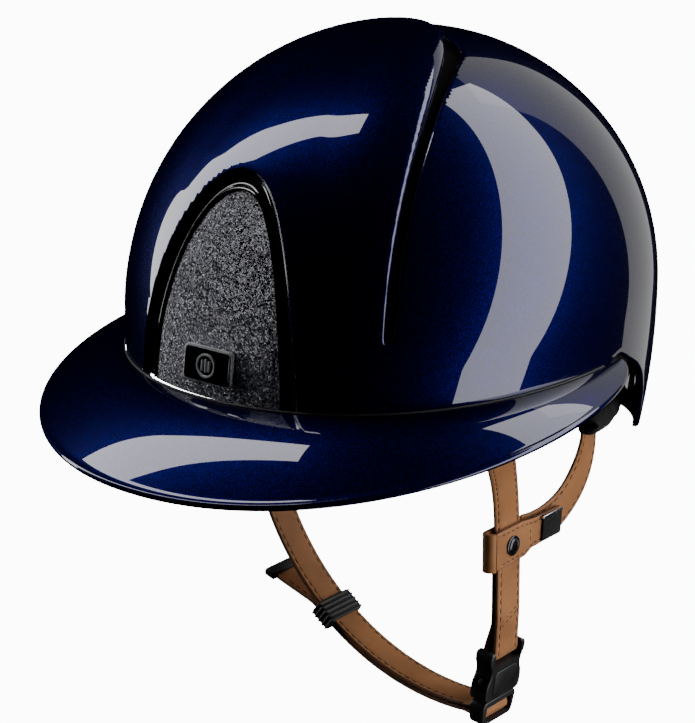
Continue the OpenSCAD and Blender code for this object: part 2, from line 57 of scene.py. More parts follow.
HALF_W, HALF_L, CROWN, WIDEST, LOWER_H = 105.0, 126.0, 130.0, 16.0, 197.0
UPPER_H = CROWN - WIDEST
PLAN_N, FRONT_FLAT = 2.1, 4.6
SHELL_T, BRIM_T, BRIM_END = 3.0, 3.0, 98.0
CREST_Y, CREST_K, LIP_H, SLOT_END_Z = 16.0, 42.0, 3.0, 29.0
PANEL_HW, PANEL_TOP, FRAME_W = 33.5, 81.5, 7.0
OGIVE_A, OGIVE_B = 1.7, 0.48
LINER_OUT, LINER_IN, PAD_TOP, PAD_IN = 6.0, 21.0, 21.9, 26.0
RIM = [[0, -4], [92, -4], [97.5, 2], [103, -4.5], [107, -9], [111, -15.5], [114, -23],
       [116, -31], [117.5, -41], [121, -48], [150, -54], [180, -57]]
LINER_RIM = [[0, -3], [88, -3], [97, -24], [180, -28]]
LOOP_X, LOOP_Y, LOOP_Z, LOOP_H, FOLD_Y = 64.0, -5.0, -86.0, 17.5, -17.0
CHIN = (39.0, -52.0)
CHIN_R = 113.0
BUCKLE = (62.4, -5.0, -131.0)
BUCKLE_TILT = math.radians(9)


# ---------- small maths ----------
def rad(a):
    return a * math.pi / 180


def unit(v):
    v = np.asarray(v, float)
    return v / np.linalg.norm(v)


def smooth(e0, e1, x):
    s = np.clip((np.asarray(x, float) - e0) / (e1 - e0), 0, 1)
    return s * s * (3 - 2 * s)


def lookup(t, rows):
    a = np.abs((np.asarray(t, float) + 180) % 360 - 180)
    return np.interp(a, [r[0] for r in rows], [r[1] for r in rows])


def rim_z(t, rows=RIM):
    return (lookup(t - 1.2, rows) + 2 * lookup(t, rows) + lookup(t + 1.2, rows)) / 4


# ---------- the dome ----------
def flatten_at(t, z):
    a = np.abs((np.asarray(t, float) + 180) % 360 - 180)
    on = (a < 60) & (z > 0) & (z < 90)
    return np.where(on, FRONT_FLAT * np.sin(rad(2.0) * z) * np.cos(rad(1.5) * a) ** 2, 0.0)


def spow(c):
    return np.sign(c) * np.abs(c) ** (2 / PLAN_N)


def dome(t, v, o=0.0):
    t, v, o = np.broadcast_arrays(np.asarray(t, float), np.asarray(v, float), np.asarray(o, float))
    h = np.where(v < 0, LOWER_H, UPPER_H - o)
    z = WIDEST + h * np.sin(rad(v))
    d = o + flatten_at(t, z)
    c = np.cos(rad(v))
    x = (HALF_W - o) * c * spow(np.sin(rad(t)))
    y = -(HALF_L - d) * c * spow(np.cos(rad(t)))
    return np.stack([x, y, z], -1)


def lat(z, o=0.0):
    z = np.asarray(z, float)
    low = -np.degrees(np.arcsin(np.clip((WIDEST - z) / LOWER_H, -1, 1)))
    return np.where(z < WIDEST, low, np.degrees(np.arcsin(np.clip((z - WIDEST) / (UPPER_H - o), -1, 1))))


def front_y(x, z, o):
    v = lat(z, o)
    c = np.cos(rad(v))
    q = np.clip(1 - (np.abs(x) / ((HALF_W - o) * c)) ** PLAN_N, 0, 1) ** (1 / PLAN_N)
    t = np.degrees(np.arctan2(np.abs(x), HALF_L * c * q))
    return -(HALF_L - o - flatten_at(t, z)) * c * q


def plan_normal(t):
    d = dome(t + 0.5, 0) - dome(t - 0.5, 0)
    n = np.stack([d[..., 1], -d[..., 0], 0 * d[..., 0]], -1)
    return n / np.linalg.norm(n, axis=-1, keepdims=True)


# ---------- meshes ----------
def link(name, me, mats, angle=40):
    for m in mats:
        me.materials.append(m)
    me.polygons.foreach_set("use_smooth", [True] * len(me.polygons))
    if angle:
        me.set_sharp_from_angle(angle=rad(angle))
    ob = bpy.data.objects.new(name, me)
    scene.collection.objects.link(ob)
    return ob


def make(name, verts, faces, mats, angle=40, face_mats=None, recalc=True):
    me = bpy.data.meshes.new(name)
    me.from_pydata((np.asarray(verts, float) * MM).tolist(), [], faces)
    if face_mats is not None:
        me.polygons.foreach_set("material_index", face_mats)
    if recalc:
        bm = bmesh.new()
        bm.from_mesh(me)
        bmesh.ops.recalc_face_normals(bm, faces=bm.faces)
        bm.to_mesh(me)
        bm.free()
    return link(name, me, mats, angle)


def grid_faces(nu, nv, off=0, closed=False, flip=False):
    """Quads of nv rows of nu points, row after row."""
    out = []
    for j in range(nv - 1):
        for i in range(nu if closed else nu - 1):
            a, b = off + j * nu + i, off + j * nu + (i + 1) % nu
            out.append([a, a + nu, b + nu, b] if flip else [a, b, b + nu, a + nu])
    return out


def ring_loft(name, rings, mats, closed_path=False, caps=True, angle=40, ring_mats=None):
    """Closed rings of equal length joined in order; the ends are capped."""
    n, m = len(rings[0]), len(rings)
    verts = np.concatenate(rings)
    faces, fm = [], []
    for j in range(m if closed_path else m - 1):
        for i in range(n):
            a, b = j * n + i, j * n + (i + 1) % n
            c, d = ((j + 1) % m) * n + (i + 1) % n, ((j + 1) % m) * n + i
            faces.append([a, b, c, d])
            fm.append(ring_mats[i] if ring_mats else 0)
    if caps and not closed_path:
        faces += [list(range(n))[::-1], list(range((m - 1) * n, m * n))]
        fm += [ring_mats[0] if ring_mats else 0] * 2
    return make(name, verts, faces, mats, angle, fm)


def edge_walls(nu, nv):
    """Quads that join the edges of two grids of points, the second stored after the first."""
    n = nu * nv
    ring = ([i for i in range(nu)] + [j * nu + nu - 1 for j in range(1, nv)]
            + [(nv - 1) * nu + i for i in range(nu - 2, -1, -1)] + [j * nu for j in range(nv - 2, 0, -1)])
    return [[a, b, n + b, n + a] for a, b in zip(ring, ring[1:] + ring[:1])]


def ride(ob, body, slot, *nodes):
    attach(ob, body)
    if nodes:
        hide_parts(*nodes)
    return ob


def bevel(ob, width, segments=3, angle=35):
    m = ob.modifiers.new("edge", "BEVEL")
    m.width, m.segments, m.limit_method, m.angle_limit = width * MM, segments, "ANGLE", rad(angle)
    m.harden_normals = False
    return m


def apply_all(ob):
    dg = bpy.context.evaluated_depsgraph_get()
    me = bpy.data.meshes.new_from_object(ob.evaluated_get(dg), depsgraph=dg)
    ob.modifiers.clear()
    ob.data = me
    return ob


def cut(ob, *cutters):
    for c in cutters:
        m = ob.modifiers.new("cut", "BOOLEAN")
        m.operation, m.solver, m.object = "DIFFERENCE", "EXACT", c
    apply_all(ob)
    for c in cutters:
        bpy.data.objects.remove(c)
    return ob


# ---------- materials ----------
class Nodes:
    """A Principled material built node by node."""

    def __init__(self, name, color=(0.5, 0.5, 0.5), rough=0.5, metal=0.0, **sockets):
        self.mat = bpy.data.materials.new(name)
        self.mat.use_nodes = True
        self.tree = self.mat.node_tree
        self.tree.nodes.clear()
        self.out = self.tree.nodes.new("ShaderNodeOutputMaterial")
        self.bsdf = self.tree.nodes.new("ShaderNodeBsdfPrincipled")
        self.tree.links.new(self.bsdf.outputs[0], self.out.inputs[0])
        self.bsdf.inputs["Base Color"].default_value = (*color, 1)
        self.bsdf.inputs["Roughness"].default_value = rough
        self.bsdf.inputs["Metallic"].default_value = metal
        for k, v in sockets.items():
            self.bsdf.inputs[k.replace("_", " ")].default_value = v
        self.coord = self.tree.nodes.new("ShaderNodeTexCoord").outputs["Object"]

    def node(self, kind, **props):
        n = self.tree.nodes.new(kind)
        for k, v in props.items():
            setattr(n, k, v)
        return n

    def put(self, src, dst):
        self.tree.links.new(src, dst)
        return self

    def noise(self, scale, detail=4.0, rough=0.55, coord=None):
        n = self.node("ShaderNodeTexNoise")
        n.inputs["Scale"].default_value = scale
        n.inputs["Detail"].default_value = detail
        n.inputs["Roughness"].default_value = rough
        self.put(coord or self.coord, n.inputs["Vector"])
        return n.outputs["Fac"]

    def cells(self, scale, feature="F1", out="Distance"):
        n = self.node("ShaderNodeTexVoronoi", feature=feature)
        n.inputs["Scale"].default_value = scale
        self.put(self.coord, n.inputs["Vector"])
        return n.outputs[out]

    def ramp(self, fac, *stops):
        n = self.node("ShaderNodeValToRGB")
        e = n.color_ramp.elements
        while len(e) < len(stops):
            e.new(0.5)
        for el, (p, c) in zip(e, stops):
            el.position, el.color = p, (*c, 1) if len(c) == 3 else c
        self.put(fac, n.inputs["Fac"])
        return n.outputs["Color"]

    def math(self, op, a, b=0.0, clamp=False):
        n = self.node("ShaderNodeMath", operation=op, use_clamp=clamp)
        for i, v in enumerate((a, b)):
            if isinstance(v, (int, float)):
                n.inputs[i].default_value = v
            else:
                self.put(v, n.inputs[i])
        return n.outputs[0]

    def range(self, fac, lo, hi, to_lo, to_hi):
        n = self.node("ShaderNodeMapRange")
        for k, v in zip(("From Min", "From Max", "To Min", "To Max"), (lo, hi, to_lo, to_hi)):
            n.inputs[k].default_value = v
        self.put(fac, n.inputs["Value"])
        return n.outputs["Result"]

    def mix(self, fac, a, b, blend="MIX"):
        n = self.node("ShaderNodeMix", data_type="RGBA", blend_type=blend)
        for k, v in ((0, fac), (6, a), (7, b)):
            if isinstance(v, (int, float)):
                n.inputs[k].default_value = v
            elif isinstance(v, tuple):
                n.inputs[k].default_value = (*v, 1)
            else:
                self.put(v, n.inputs[k])
        return n.outputs[2]

    def bump(self, height, dist, strength=1.0, normal=None):
        n = self.node("ShaderNodeBump")
        n.inputs["Distance"].default_value = dist * MM
        n.inputs["Strength"].default_value = strength
        self.put(height, n.inputs["Height"])
        if normal is not None:
            self.put(normal, n.inputs["Normal"])
        return n.outputs["Normal"]

    def color(self, src):
        return self.put(src, self.bsdf.inputs["Base Color"])

    def rough(self, src):
        return self.put(src, self.bsdf.inputs["Roughness"])

    def normal(self, src):
        return self.put(src, self.bsdf.inputs["Normal"])


def shell_paint():
    g = Nodes("shell_paint", rough=0.4, metal=0.85, Coat_Weight=1.0, Coat_Roughness=0.012, Coat_IOR=1.55,
              Specular_Tint=(0.02, 0.014, 0.16, 1.0))
    flake = g.node("ShaderNodeSeparateColor")
    g.put(g.cells(3200, out="Color"), flake.inputs[0])
    cloud = g.noise(60, 3)
    base = g.ramp(flake.outputs[0], (0.0, (0.0007, 0.0002, 0.018)), (0.6, (0.0015, 0.0003, 0.04)),
                  (1.0, (0.004, 0.0008, 0.1)))
    g.color(g.mix(g.range(cloud, 0.3, 0.7, 0.0, 0.2), base, (0.0001, 0.0001, 0.018)))
    g.rough(g.range(flake.outputs[1], 0, 1, 0.3, 0.42))
    return g.mat


def glitter():
    g = Nodes("glitter", rough=0.3, metal=0.2, Coat_Weight=0.15, Coat_Roughness=0.25)
    vec = g.node("ShaderNodeTexVoronoi", feature="F1")
    vec.inputs["Scale"].default_value = 1750
    g.put(g.coord, vec.inputs["Vector"])
    sep = g.node("ShaderNodeSeparateColor")
    g.put(vec.outputs["Color"], sep.inputs[0])
    tone = g.ramp(sep.outputs[0], (0.0, (0.06, 0.06, 0.07)), (0.4, (0.24, 0.245, 0.275)),
                  (0.7, (0.5, 0.5, 0.55)), (0.88, (0.95, 0.95, 1.0)), (1.0, (1.0, 0.98, 1.0)))
    tint = g.ramp(sep.outputs[1], (0.0, (1.0, 0.86, 0.9)), (0.5, (0.9, 0.95, 1.0)), (1.0, (1, 1, 1)))
    g.color(g.mix(1.0, tone, tint, "MULTIPLY"))
    tilt = g.node("ShaderNodeVectorMath", operation="MULTIPLY_ADD")
    g.put(vec.outputs["Color"], tilt.inputs[0])
    tilt.inputs[1].default_value = (1.7, 1.7, 1.7)
    tilt.inputs[2].default_value = (-0.85, -0.85, -0.85)
    geo = g.node("ShaderNodeNewGeometry")
    add = g.node("ShaderNodeVectorMath", operation="ADD")
    g.put(geo.outputs["Normal"], add.inputs[0])
    g.put(tilt.outputs[0], add.inputs[1])
    norm = g.node("ShaderNodeVectorMath", operation="NORMALIZE")
    g.put(add.outputs[0], norm.inputs[0])
    g.normal(norm.outputs[0])
    g.rough(g.range(sep.outputs[2], 0, 1, 0.2, 0.5))
    return g.mat


def plastic(name, color, rough, grain=900, depth=0.02, **k):
    g = Nodes(name, color, rough, **k)
    fine, broad = g.noise(grain, 2), g.noise(70, 4)
    hi = tuple(min(1.0, c * 1.5 + 0.004) for c in color)
    g.color(g.mix(g.range(broad, 0.35, 0.7, 0, 1), color, hi))
    g.rough(g.range(broad, 0.3, 0.7, rough * 0.85, min(1.0, rough * 1.2)))
    g.normal(g.bump(fine, depth, 0.5))
    return g.mat


def metal(name, color, rough, stretch=(1, 1, 30)):
    g = Nodes(name, color, rough, 1.0)
    m = g.node("ShaderNodeMapping")
    m.inputs["Scale"].default_value = stretch
    g.put(g.coord, m.inputs["Vector"])
    brush = g.noise(240, 5, coord=m.outputs[0])
    g.rough(g.range(brush, 0.3, 0.7, rough * 0.7, rough * 1.35))
    g.color(g.mix(g.range(brush, 0.3, 0.7, 0, 1), tuple(c * 0.8 for c in color), color))
    g.normal(g.bump(brush, 0.01, 0.3))
    return g.mat


def leather(name, dark, light, rough=0.5):
    g = Nodes(name, light, rough, Specular_IOR_Level=0.42, Sheen_Weight=0.12, Sheen_Roughness=0.45)
    patch, fine = g.noise(55, 5), g.noise(700, 3)
    pores = g.cells(1500, "DISTANCE_TO_EDGE")
    warm = g.mix(g.range(patch, 0.32, 0.68, 0, 1), dark, light)
    speck = g.mix(g.range(fine, 0.3, 0.75, 0.0, 0.22), warm, tuple(c * 0.62 for c in dark))
    g.color(speck)
    g.rough(g.range(patch, 0.3, 0.7, rough * 0.85, rough * 1.2))
    creases = g.bump(g.range(g.noise(160, 6, 0.7), 0.3, 0.7, 0, 1), 0.08, 0.35)
    g.normal(g.bump(g.range(pores, 0.0, 0.25, 0, 1), 0.07, 0.7, creases))
    return g.mat


def thread(name, color):
    g = Nodes(name, color, 0.75, Sheen_Weight=0.3)
    w = g.node("ShaderNodeTexWave", wave_type="BANDS", bands_direction="DIAGONAL")
    w.inputs["Scale"].default_value = 700
    g.put(g.coord, w.inputs["Vector"])
    # Half as bright in the grooves of the twist, in step with the bump: painted shade.
    g.color(g.mix(w.outputs["Fac"], tuple(c * 0.5 for c in color), color))
    g.normal(g.bump(w.outputs["Fac"], 0.08, 0.8))
    return g.mat


def knit(name, color, scale=520.0, depth=0.16):
    g = Nodes(name, color, 0.9, Specular_IOR_Level=0.2, Sheen_Weight=0.08, Sheen_Roughness=0.5)
    holes = g.cells(scale, "F1")
    fuzz = g.noise(1400, 3)
    # Lighter on the raised cells and darker in the low gaps between them, in step with the bump: painted
    # light and shade.
    painted_knit_shading = g.mix(g.range(holes, 0.2, 0.75, 0, 1),
                  tuple(c * 1.7 + 0.001 for c in color), tuple(c * 0.35 for c in color))
    g.color(g.mix(g.range(fuzz, 0.35, 0.7, 0, 0.5), painted_knit_shading, tuple(c * 1.3 for c in color)))
    g.normal(g.bump(fuzz, 0.05, 0.6, g.bump(g.range(holes, 0.1, 0.7, 1, 0), depth, 0.9)))
    return g.mat


def foam(name, color):
    g = Nodes(name, color, 0.8)
    bead = g.cells(330, "DISTANCE_TO_EDGE")
    # Darker in the grooves between the beads, in step with the bump: painted shade.
    g.color(g.mix(g.range(bead, 0, 0.12, 0, 1), tuple(c * 0.4 for c in color), color))
    g.normal(g.bump(g.range(bead, 0, 0.2, 0, 1), 0.15, 0.6))
    return g.mat


M = {
    "shell_paint": shell_paint(),
    "glitter": glitter(),
    "black_gloss": plastic("black_gloss", (0.004, 0.004, 0.005), 0.09, 500, 0.003,
                           Coat_Weight=0.6, Coat_Roughness=0.03),
    "black_plastic": plastic("black_plastic", (0.011, 0.011, 0.012), 0.36, 1100, 0.03),
    "rubber": plastic("rubber", (0.012, 0.012, 0.013), 0.62, 1500, 0.05),
    "silver": metal("silver", (0.72, 0.72, 0.75), 0.22),
    "silver_ink": plastic("silver_ink", (0.4, 0.41, 0.43), 0.3, 900, 0.01),
    "dark_metal": metal("dark_metal", (0.075, 0.075, 0.085), 0.24, (6, 6, 6)),
    "liner": foam("liner", (0.007, 0.007, 0.008)),
    "vent_matte": plastic("vent_matte", (0.003, 0.003, 0.003), 0.95, 1500, 0.02, Specular_IOR_Level=0.05),
    "lining": knit("lining", (0.004, 0.004, 0.0045)),
    "piping": plastic("piping", (0.02, 0.02, 0.022), 0.5, 1600, 0.05),
    "tag_fabric": knit("tag_fabric", (0.008, 0.008, 0.009), 1500, 0.06),
    "leather": leather("leather", (0.32, 0.122, 0.034), (0.45, 0.185, 0.056)),
    "leather_edge": leather("leather_edge", (0.11, 0.036, 0.012), (0.17, 0.06, 0.018), 0.6),
    "thread": thread("thread", (0.055, 0.028, 0.016)),
}


# ---------- the shell ----------
def crest_f(x, y):
    """Signed distance in plan from the front plate's rear edge, negative on the plate."""
    return (y - CREST_Y + x * x / CREST_K) / np.sqrt(1 + (2 * x / CREST_K) ** 2)


def slot_w(x):
    return 3.2 + 3.4 * np.exp(-((np.abs(x) - 33) / 11) ** 2)


def ogive_half(z, grow):
    s = np.clip(np.asarray(z, float) / (PANEL_TOP + grow), 0, 1)
    return (PANEL_HW + grow) * (1 - s ** OGIVE_A) ** OGIVE_B


def ogive_line(grow, n=60, foot=-2.0):
    s = 1 - (1 - np.linspace(0, 1, n + 1)) ** 2
    z = (PANEL_TOP + grow) * s
    right = [(float(ogive_half(q, grow)), float(q)) for q in z]
    left = [(-x, q) for x, q in right[-2::-1]]
    return [(PANEL_HW + grow, foot)] + right + left + [(-PANEL_HW - grow, foot)]


def polygon_distance(x, z, poly):
    """Signed distance from a closed outline, negative inside."""
    p = np.stack([x, z], -1)
    best = np.full(len(x), 1e9)
    inside = np.zeros(len(x), bool)
    for (ax, az), (bx, bz) in zip(poly, poly[1:] + poly[:1]):
        a, d = np.array([ax, az]), np.array([bx - ax, bz - az])
        s = np.clip(((p - a) @ d) / max(d @ d, 1e-12), 0, 1)
        best = np.minimum(best, np.linalg.norm(p - a - s[:, None] * d, axis=1))
        cross = (az > z) != (bz > z)
        with np.errstate(divide="ignore", invalid="ignore"):
            inside ^= cross & (x < (bx - ax) * (z - az) / (bz - az) + ax)
    return np.where(inside, -best, best)


def crest_rise(v):
    v0 = float(lat(SLOT_END_Z - 1))
    return np.clip(np.sin(rad(np.asarray(v, float))) - math.sin(rad(v0)), 0, 1) ** 0.7


def rounding(d, r):
    """How far a rounded edge of radius r drops at distance d from the edge."""
    d = np.clip(d, 0, r)
    return r - np.sqrt(np.clip(r * r - (r - d) ** 2, 0, None))


def slice_mesh(bm, coord, level, keep, drop=False):
    """Cuts the faces that keep() picks along coord = level, in plan-angle and latitude space."""
    tv = np.array([v.co for v in bm.verts])
    h = coord(tv[:, 0], tv[:, 1])
    picked = keep(tv[:, 0], tv[:, 1])
    for v, q in zip(bm.verts, h):
        v.co.z = q
    for v, q in zip(bm.verts, picked):
        v.tag = bool(q)
    faces = [f for f in bm.faces if all(v.tag for v in f.verts)]
    geom = faces + list({e for f in faces for e in f.edges}) + list({v for f in faces for v in f.verts})
    bmesh.ops.bisect_plane(bm, geom=geom, dist=1e-5, plane_co=(0, 0, level), plane_no=(0, 0, 1))
    if drop:
        gone = [f for f in bm.faces if f.calc_center_median().z < level]
        bmesh.ops.delete(bm, geom=gone, context="FACES")
    bm.verts.ensure_lookup_table()


def spread(lo, hi, step):
    return np.linspace(lo, hi, max(2, int(round((hi - lo) / step)) + 1))


def build_shell():
    ts = spread(-180, 180, 1.125)
    vs = np.concatenate([spread(float(lat(-62)), 84, 1.05), [85.5, 87, 88.5, 90]])
    bm = bmesh.new()
    rows = [[bm.verts.new((t, v, 0)) for t in ts] for v in vs]
    for a, b in zip(rows, rows[1:]):
        for i in range(len(ts) - 1):
            bm.faces.new((a[i], a[i + 1], b[i + 1], b[i]))
    window = ogive_line(FRAME_W)

    def plan_f(t, v):
        p = dome(t, v)
        return crest_f(p[..., 0], p[..., 1])

    def rear_f(t, v):
        p = dome(t, v)
        return crest_f(p[..., 0], p[..., 1]) - slot_w(p[..., 0])

    def window_g(t, v):
        p = dome(t, v)
        g = polygon_distance(p[:, 0], p[:, 2], window)
        return np.where(p[:, 1] < 0, g, 99.0)

    def rim_h(t, v):
        z = dome(t, v)[..., 2]
        slope = (rim_z(t + 0.6) - rim_z(t - 0.6)) / 1.2 / 2.05
        return (z - rim_z(t)) / np.sqrt(1 + slope ** 2)

    high = float(lat(SLOT_END_Z - 8))
    on_crest = lambda t, v: (v > high) & (np.abs(plan_f(t, v)) < 16)
    by_window = lambda t, v: (np.abs(t) < 40) & (v < float(lat(104)))
    by_rim = lambda t, v: v < float(lat(20))
    for level in (0.0, -0.25, -0.8, -1.6, -2.8, -4.5):
        slice_mesh(bm, plan_f, level, on_crest)
    for level in (0.0, 0.2, 0.6, 1.2):
        slice_mesh(bm, rear_f, level, on_crest)
    end_v = float(lat(SLOT_END_Z))
    for v in (end_v - 0.2, end_v):
        slice_mesh(bm, lambda t, q: q, v, on_crest)
    for level in (0.9, 0.5, 0.15):
        slice_mesh(bm, window_g, level, by_window)
    slice_mesh(bm, window_g, 0.0, by_window, drop=True)
    for level in (1.4, 0.7, 0.2):
        slice_mesh(bm, rim_h, level, by_rim)
    slice_mesh(bm, rim_h, 0.0, by_rim, drop=True)
    gone = []
    for f in bm.faces:
        c = f.calc_center_median()
        p = dome(c.x, c.y)
        e = float(crest_f(p[0], p[1]))
        if c.y > end_v and 0 < e < float(slot_w(p[0])):
            gone.append(f)
    bmesh.ops.delete(bm, geom=gone, context="FACES")
    loose = [v for v in bm.verts if not v.link_faces]
    bmesh.ops.delete(bm, geom=loose, context="VERTS")

    bm.verts.ensure_lookup_table()
    tv = np.array([v.co for v in bm.verts])
    t, v = tv[:, 0], tv[:, 1]
    p = dome(t, v)
    f, w = crest_f(p[:, 0], p[:, 1]), slot_w(p[:, 0])
    rise = crest_rise(v)
    above = smooth(end_v - 0.3, end_v + 0.5, v)
    plate = f < w / 2
    lift = np.where(plate, LIP_H * rise * (1 - smooth(0, 55, -f)), -0.5 * rise * (1 - smooth(0, 26, f - w)))
    edge = np.where(plate, rounding(-f, 0.8 + 3.4 * rise), rounding(f - w, 1.2)) * above
    g = np.where(np.abs(t) < 45, window_g(t, v), 99.0)
    h = rim_h(t, v)
    drop = edge + rounding(g, 0.9) + rounding(h, 1.4)
    outer = dome(t, v, drop - lift)
    inner = dome(t, v, SHELL_T - lift)
    n = len(outer)
    faces = [[q.index for q in fc.verts] for fc in bm.faces]
    walls = []
    for e in bm.edges:
        if len(e.link_faces) == 1:
            a, b = e.verts
            seam = abs(abs(a.co.x) - 180) < 1e-4 and abs(abs(b.co.x) - 180) < 1e-4
            if not seam and min(a.co.y, b.co.y) < 89.9:
                walls.append([a.index, b.index, n + b.index, n + a.index])
    bm.free()
    verts = np.concatenate([outer, inner]) * MM
    me = bpy.data.meshes.new("shell")
    me.from_pydata(verts.tolist(), [], faces + [[n + q for q in fc[::-1]] for fc in faces] + walls)
    bm = bmesh.new()
    bm.from_mesh(me)
    bmesh.ops.remove_doubles(bm, verts=bm.verts, dist=2e-5)
    bmesh.ops.recalc_face_normals(bm, faces=bm.faces)
    bm.to_mesh(me)
    bm.free()
    ob = link("shell", me, [M["shell_paint"]], 50)
    return ride(ob, "helmet", "shell_paint", "outer_shell")


build_shell()


# ---------- front insert ----------
def frame_rings():
    """Sections of the frame from the panel's edge up to the shell's window."""
    n = 72
    prof = [(-0.5, 4.4), (-0.5, 2.5), (-0.3, 1.75), (0.1, 1.5), (0.5, 1.6), (0.8, 2.1), (1.2, 2.7),
            (1.9, 2.9), (3.1, 2.6), (4.5, 2.0), (5.6, 1.3), (6.3, 0.85), (6.5, 0.75), (6.7, 0.9), (6.7, 4.4)]
    rings = []
    for k in range(-n, n + 1):
        s0 = abs(k) / n
        ring = []
        for grow, depth in prof:
            s = 1 - s0 ** 2
            top = PANEL_TOP + grow
            z = top * s if s0 > 0 else top
            x = math.copysign(float(ogive_half(z, grow)), k) if k else 0.0
            ring.append([x, float(front_y(x, z, depth)), z])
        rings.append(np.array(ring))
    return rings


bezel = ring_loft("front_bezel", frame_rings(), [M["black_gloss"]], angle=50)
ride(bezel, "helmet", "black_gloss", "front_frame")


def build_panel():
    nu, nv = 33, 49
    grow = -0.2
    layers = []
    for depth in (2.55, 4.1):
        for j in range(nv):
            s = j / (nv - 1)
            z = -0.5 + (PANEL_TOP + grow) * (1 - (1 - s) ** 1.6)
            hw = max(0.6, float(ogive_half(max(z, 0), grow)))
            for i in range(nu):
                x = hw * (2 * i / (nu - 1) - 1)
                layers.append([x, float(front_y(x, z, depth)), z])
    n = nu * nv
    faces = grid_faces(nu, nv) + grid_faces(nu, nv, n, flip=True)
    faces += edge_walls(nu, nv)
    return make("insert_panel", layers, faces, [M["glitter"]], 50)


ride(build_panel(), "helmet", "glitter", "front_panel")


def plate(name, hw, hh, r, depth, at, mats, bev, n=8):
    """A rounded rectangular plate in the XZ plane that faces -Y."""
    pts = []
    for i, j, a0 in ((1, 1, 0), (-1, 1, 90), (-1, -1, 180), (1, -1, 270)):
        turns = [rad(a0 + 90 * k / n) for k in range(n + 1)]
        pts += [(i * (hw - r) + r * math.cos(a), j * (hh - r) + r * math.sin(a)) for a in turns]
    rings = []
    for y, inset in ((0, 0), (-depth + bev, 0), (-depth + 0.3 * bev, 0.3 * bev), (-depth, bev)):
        kx, kz = 1 - inset / hw, 1 - inset / hh
        rings.append(np.array([[at[0] + x * kx, at[1] + y, at[2] + z * kz] for x, z in pts]))
    return ring_loft(name, rings, mats, angle=35)


lo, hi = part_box("emblem_plate")
EMBLEM_LEAN, EMBLEM_T = rad(8), 2.0
mid = (lo + hi) / 2 / MM - Vector((0, 1.8, 0))
back_y = mid.y + math.cos(EMBLEM_LEAN) * EMBLEM_T / 2
back_z = mid.z - math.sin(EMBLEM_LEAN) * EMBLEM_T / 2
lean_back = Matrix.Translation((0, back_y * MM, back_z * MM)) @ Matrix.Rotation(-EMBLEM_LEAN, 4, "X")


def lean(ob):
    ob.data.transform(lean_back)
    return ob


border = plate("emblem_border", 12.5, 7.5, 2.2, 1.9, (0, 0, 0), [M["silver_ink"]], 0.5)
ride(lean(border), "helmet", "silver")
face = plate("emblem_plate_face", 11.7, 6.7, 1.7, 2.3, (0, 0, 0), [M["black_gloss"]], 0.25)
ride(lean(face), "helmet", "black_gloss", "emblem_plate")
motif = []
for q in range(48):
    a = rad(360 * q / 48)
    motif.append(np.array([[r * math.cos(a), y - 2.3, r * math.sin(a)] for r, y in
                           ((4.0, 0), (4.0, -0.55), (4.15, -0.7), (4.85, -0.7), (5.0, -0.55), (5.0, 0))]))
ring = ring_loft("emblem_ring", motif, [M["silver_ink"]], closed_path=True, angle=30)
ride(lean(ring), "helmet", "silver", "emblem_motif")
for k, x in enumerate((-1.8, 0, 1.8)):
    half_h = 2.3 if k != 1 else 2.8
    bar = plate(f"emblem_bar_{k}", 0.5, half_h, 0.4, 0.7, (x, -2.3, 0), [M["silver_ink"]], 0.15)
    ride(lean(bar), "helmet", "silver")


# ---------- brim ----------
def brim_size(t):
    u = np.clip(np.abs(np.asarray(t, float)) / BRIM_END, 0, 1)
    k = np.sqrt(np.clip(1 - u ** 2.27, 0, 1))
    a, b = np.cos(rad(90 * u)) ** 2, np.sin(rad(90 * u)) ** 2
    return (44 * a + 28 * b) * k, (26 * a + 12 * b) * k


def build_brim():
    rings = []
    last = BRIM_END - 0.35
    s = np.linspace(-1, 1, 281)
    for t in last * np.sign(s) * (1 - (1 - np.abs(s)) ** 1.15):
        reach, fall = (float(q) for q in brim_size(t))
        n = plan_normal(t)
        root = dome(t, lat(0)) + n * 0.6
        thick = min(BRIM_T, 0.6 + reach * 0.5)
        r = thick / 2
        top = []
        for q in np.linspace(0, 1, 26):
            top.append((q * (reach - r) if reach > r else q * reach * 0.5, q))
        ring = []
        for out, q in top:
            drop = fall * (out / max(reach, 1e-6)) ** 1.5
            ring.append(root + n * out - np.array([0, 0, drop]))
        out, q = top[-1]
        c = root + n * out - np.array([0, 0, fall * (out / max(reach, 1e-6)) ** 1.5 + r])
        for a in np.linspace(75, -75, 9):
            ring.append(c + n * r * math.cos(rad(a)) + np.array([0, 0, r * math.sin(rad(a))]))
        for out, q in top[::-1]:
            drop = fall * (out / max(reach, 1e-6)) ** 1.5 + thick
            ring.append(root + n * out - np.array([0, 0, drop]))
        rings.append(np.array(ring))
    return ring_loft("brim_body", rings, [M["shell_paint"]], angle=50)


ride(build_brim(), "helmet", "shell_paint", "brim")


def build_gasket():
    rings = []
    for t in np.linspace(-92, 92, 161):
        n = plan_normal(t)
        ring = []
        for z, out in ((0.05, 0.25), (0.05, 0.75), (0.25, 0.8), (0.55, 0.7), (0.7, 0.5), (0.75, 0.25)):
            ring.append(dome(t, lat(z)) + n * out)
        rings.append(np.array(ring))
    return ring_loft("joint_seal", rings, [M["rubber"]], angle=60)


ride(build_gasket(), "helmet", "rubber", "brim_gasket")


# ---------- liner and pads ----------
MM_PER_DEG = 2.1


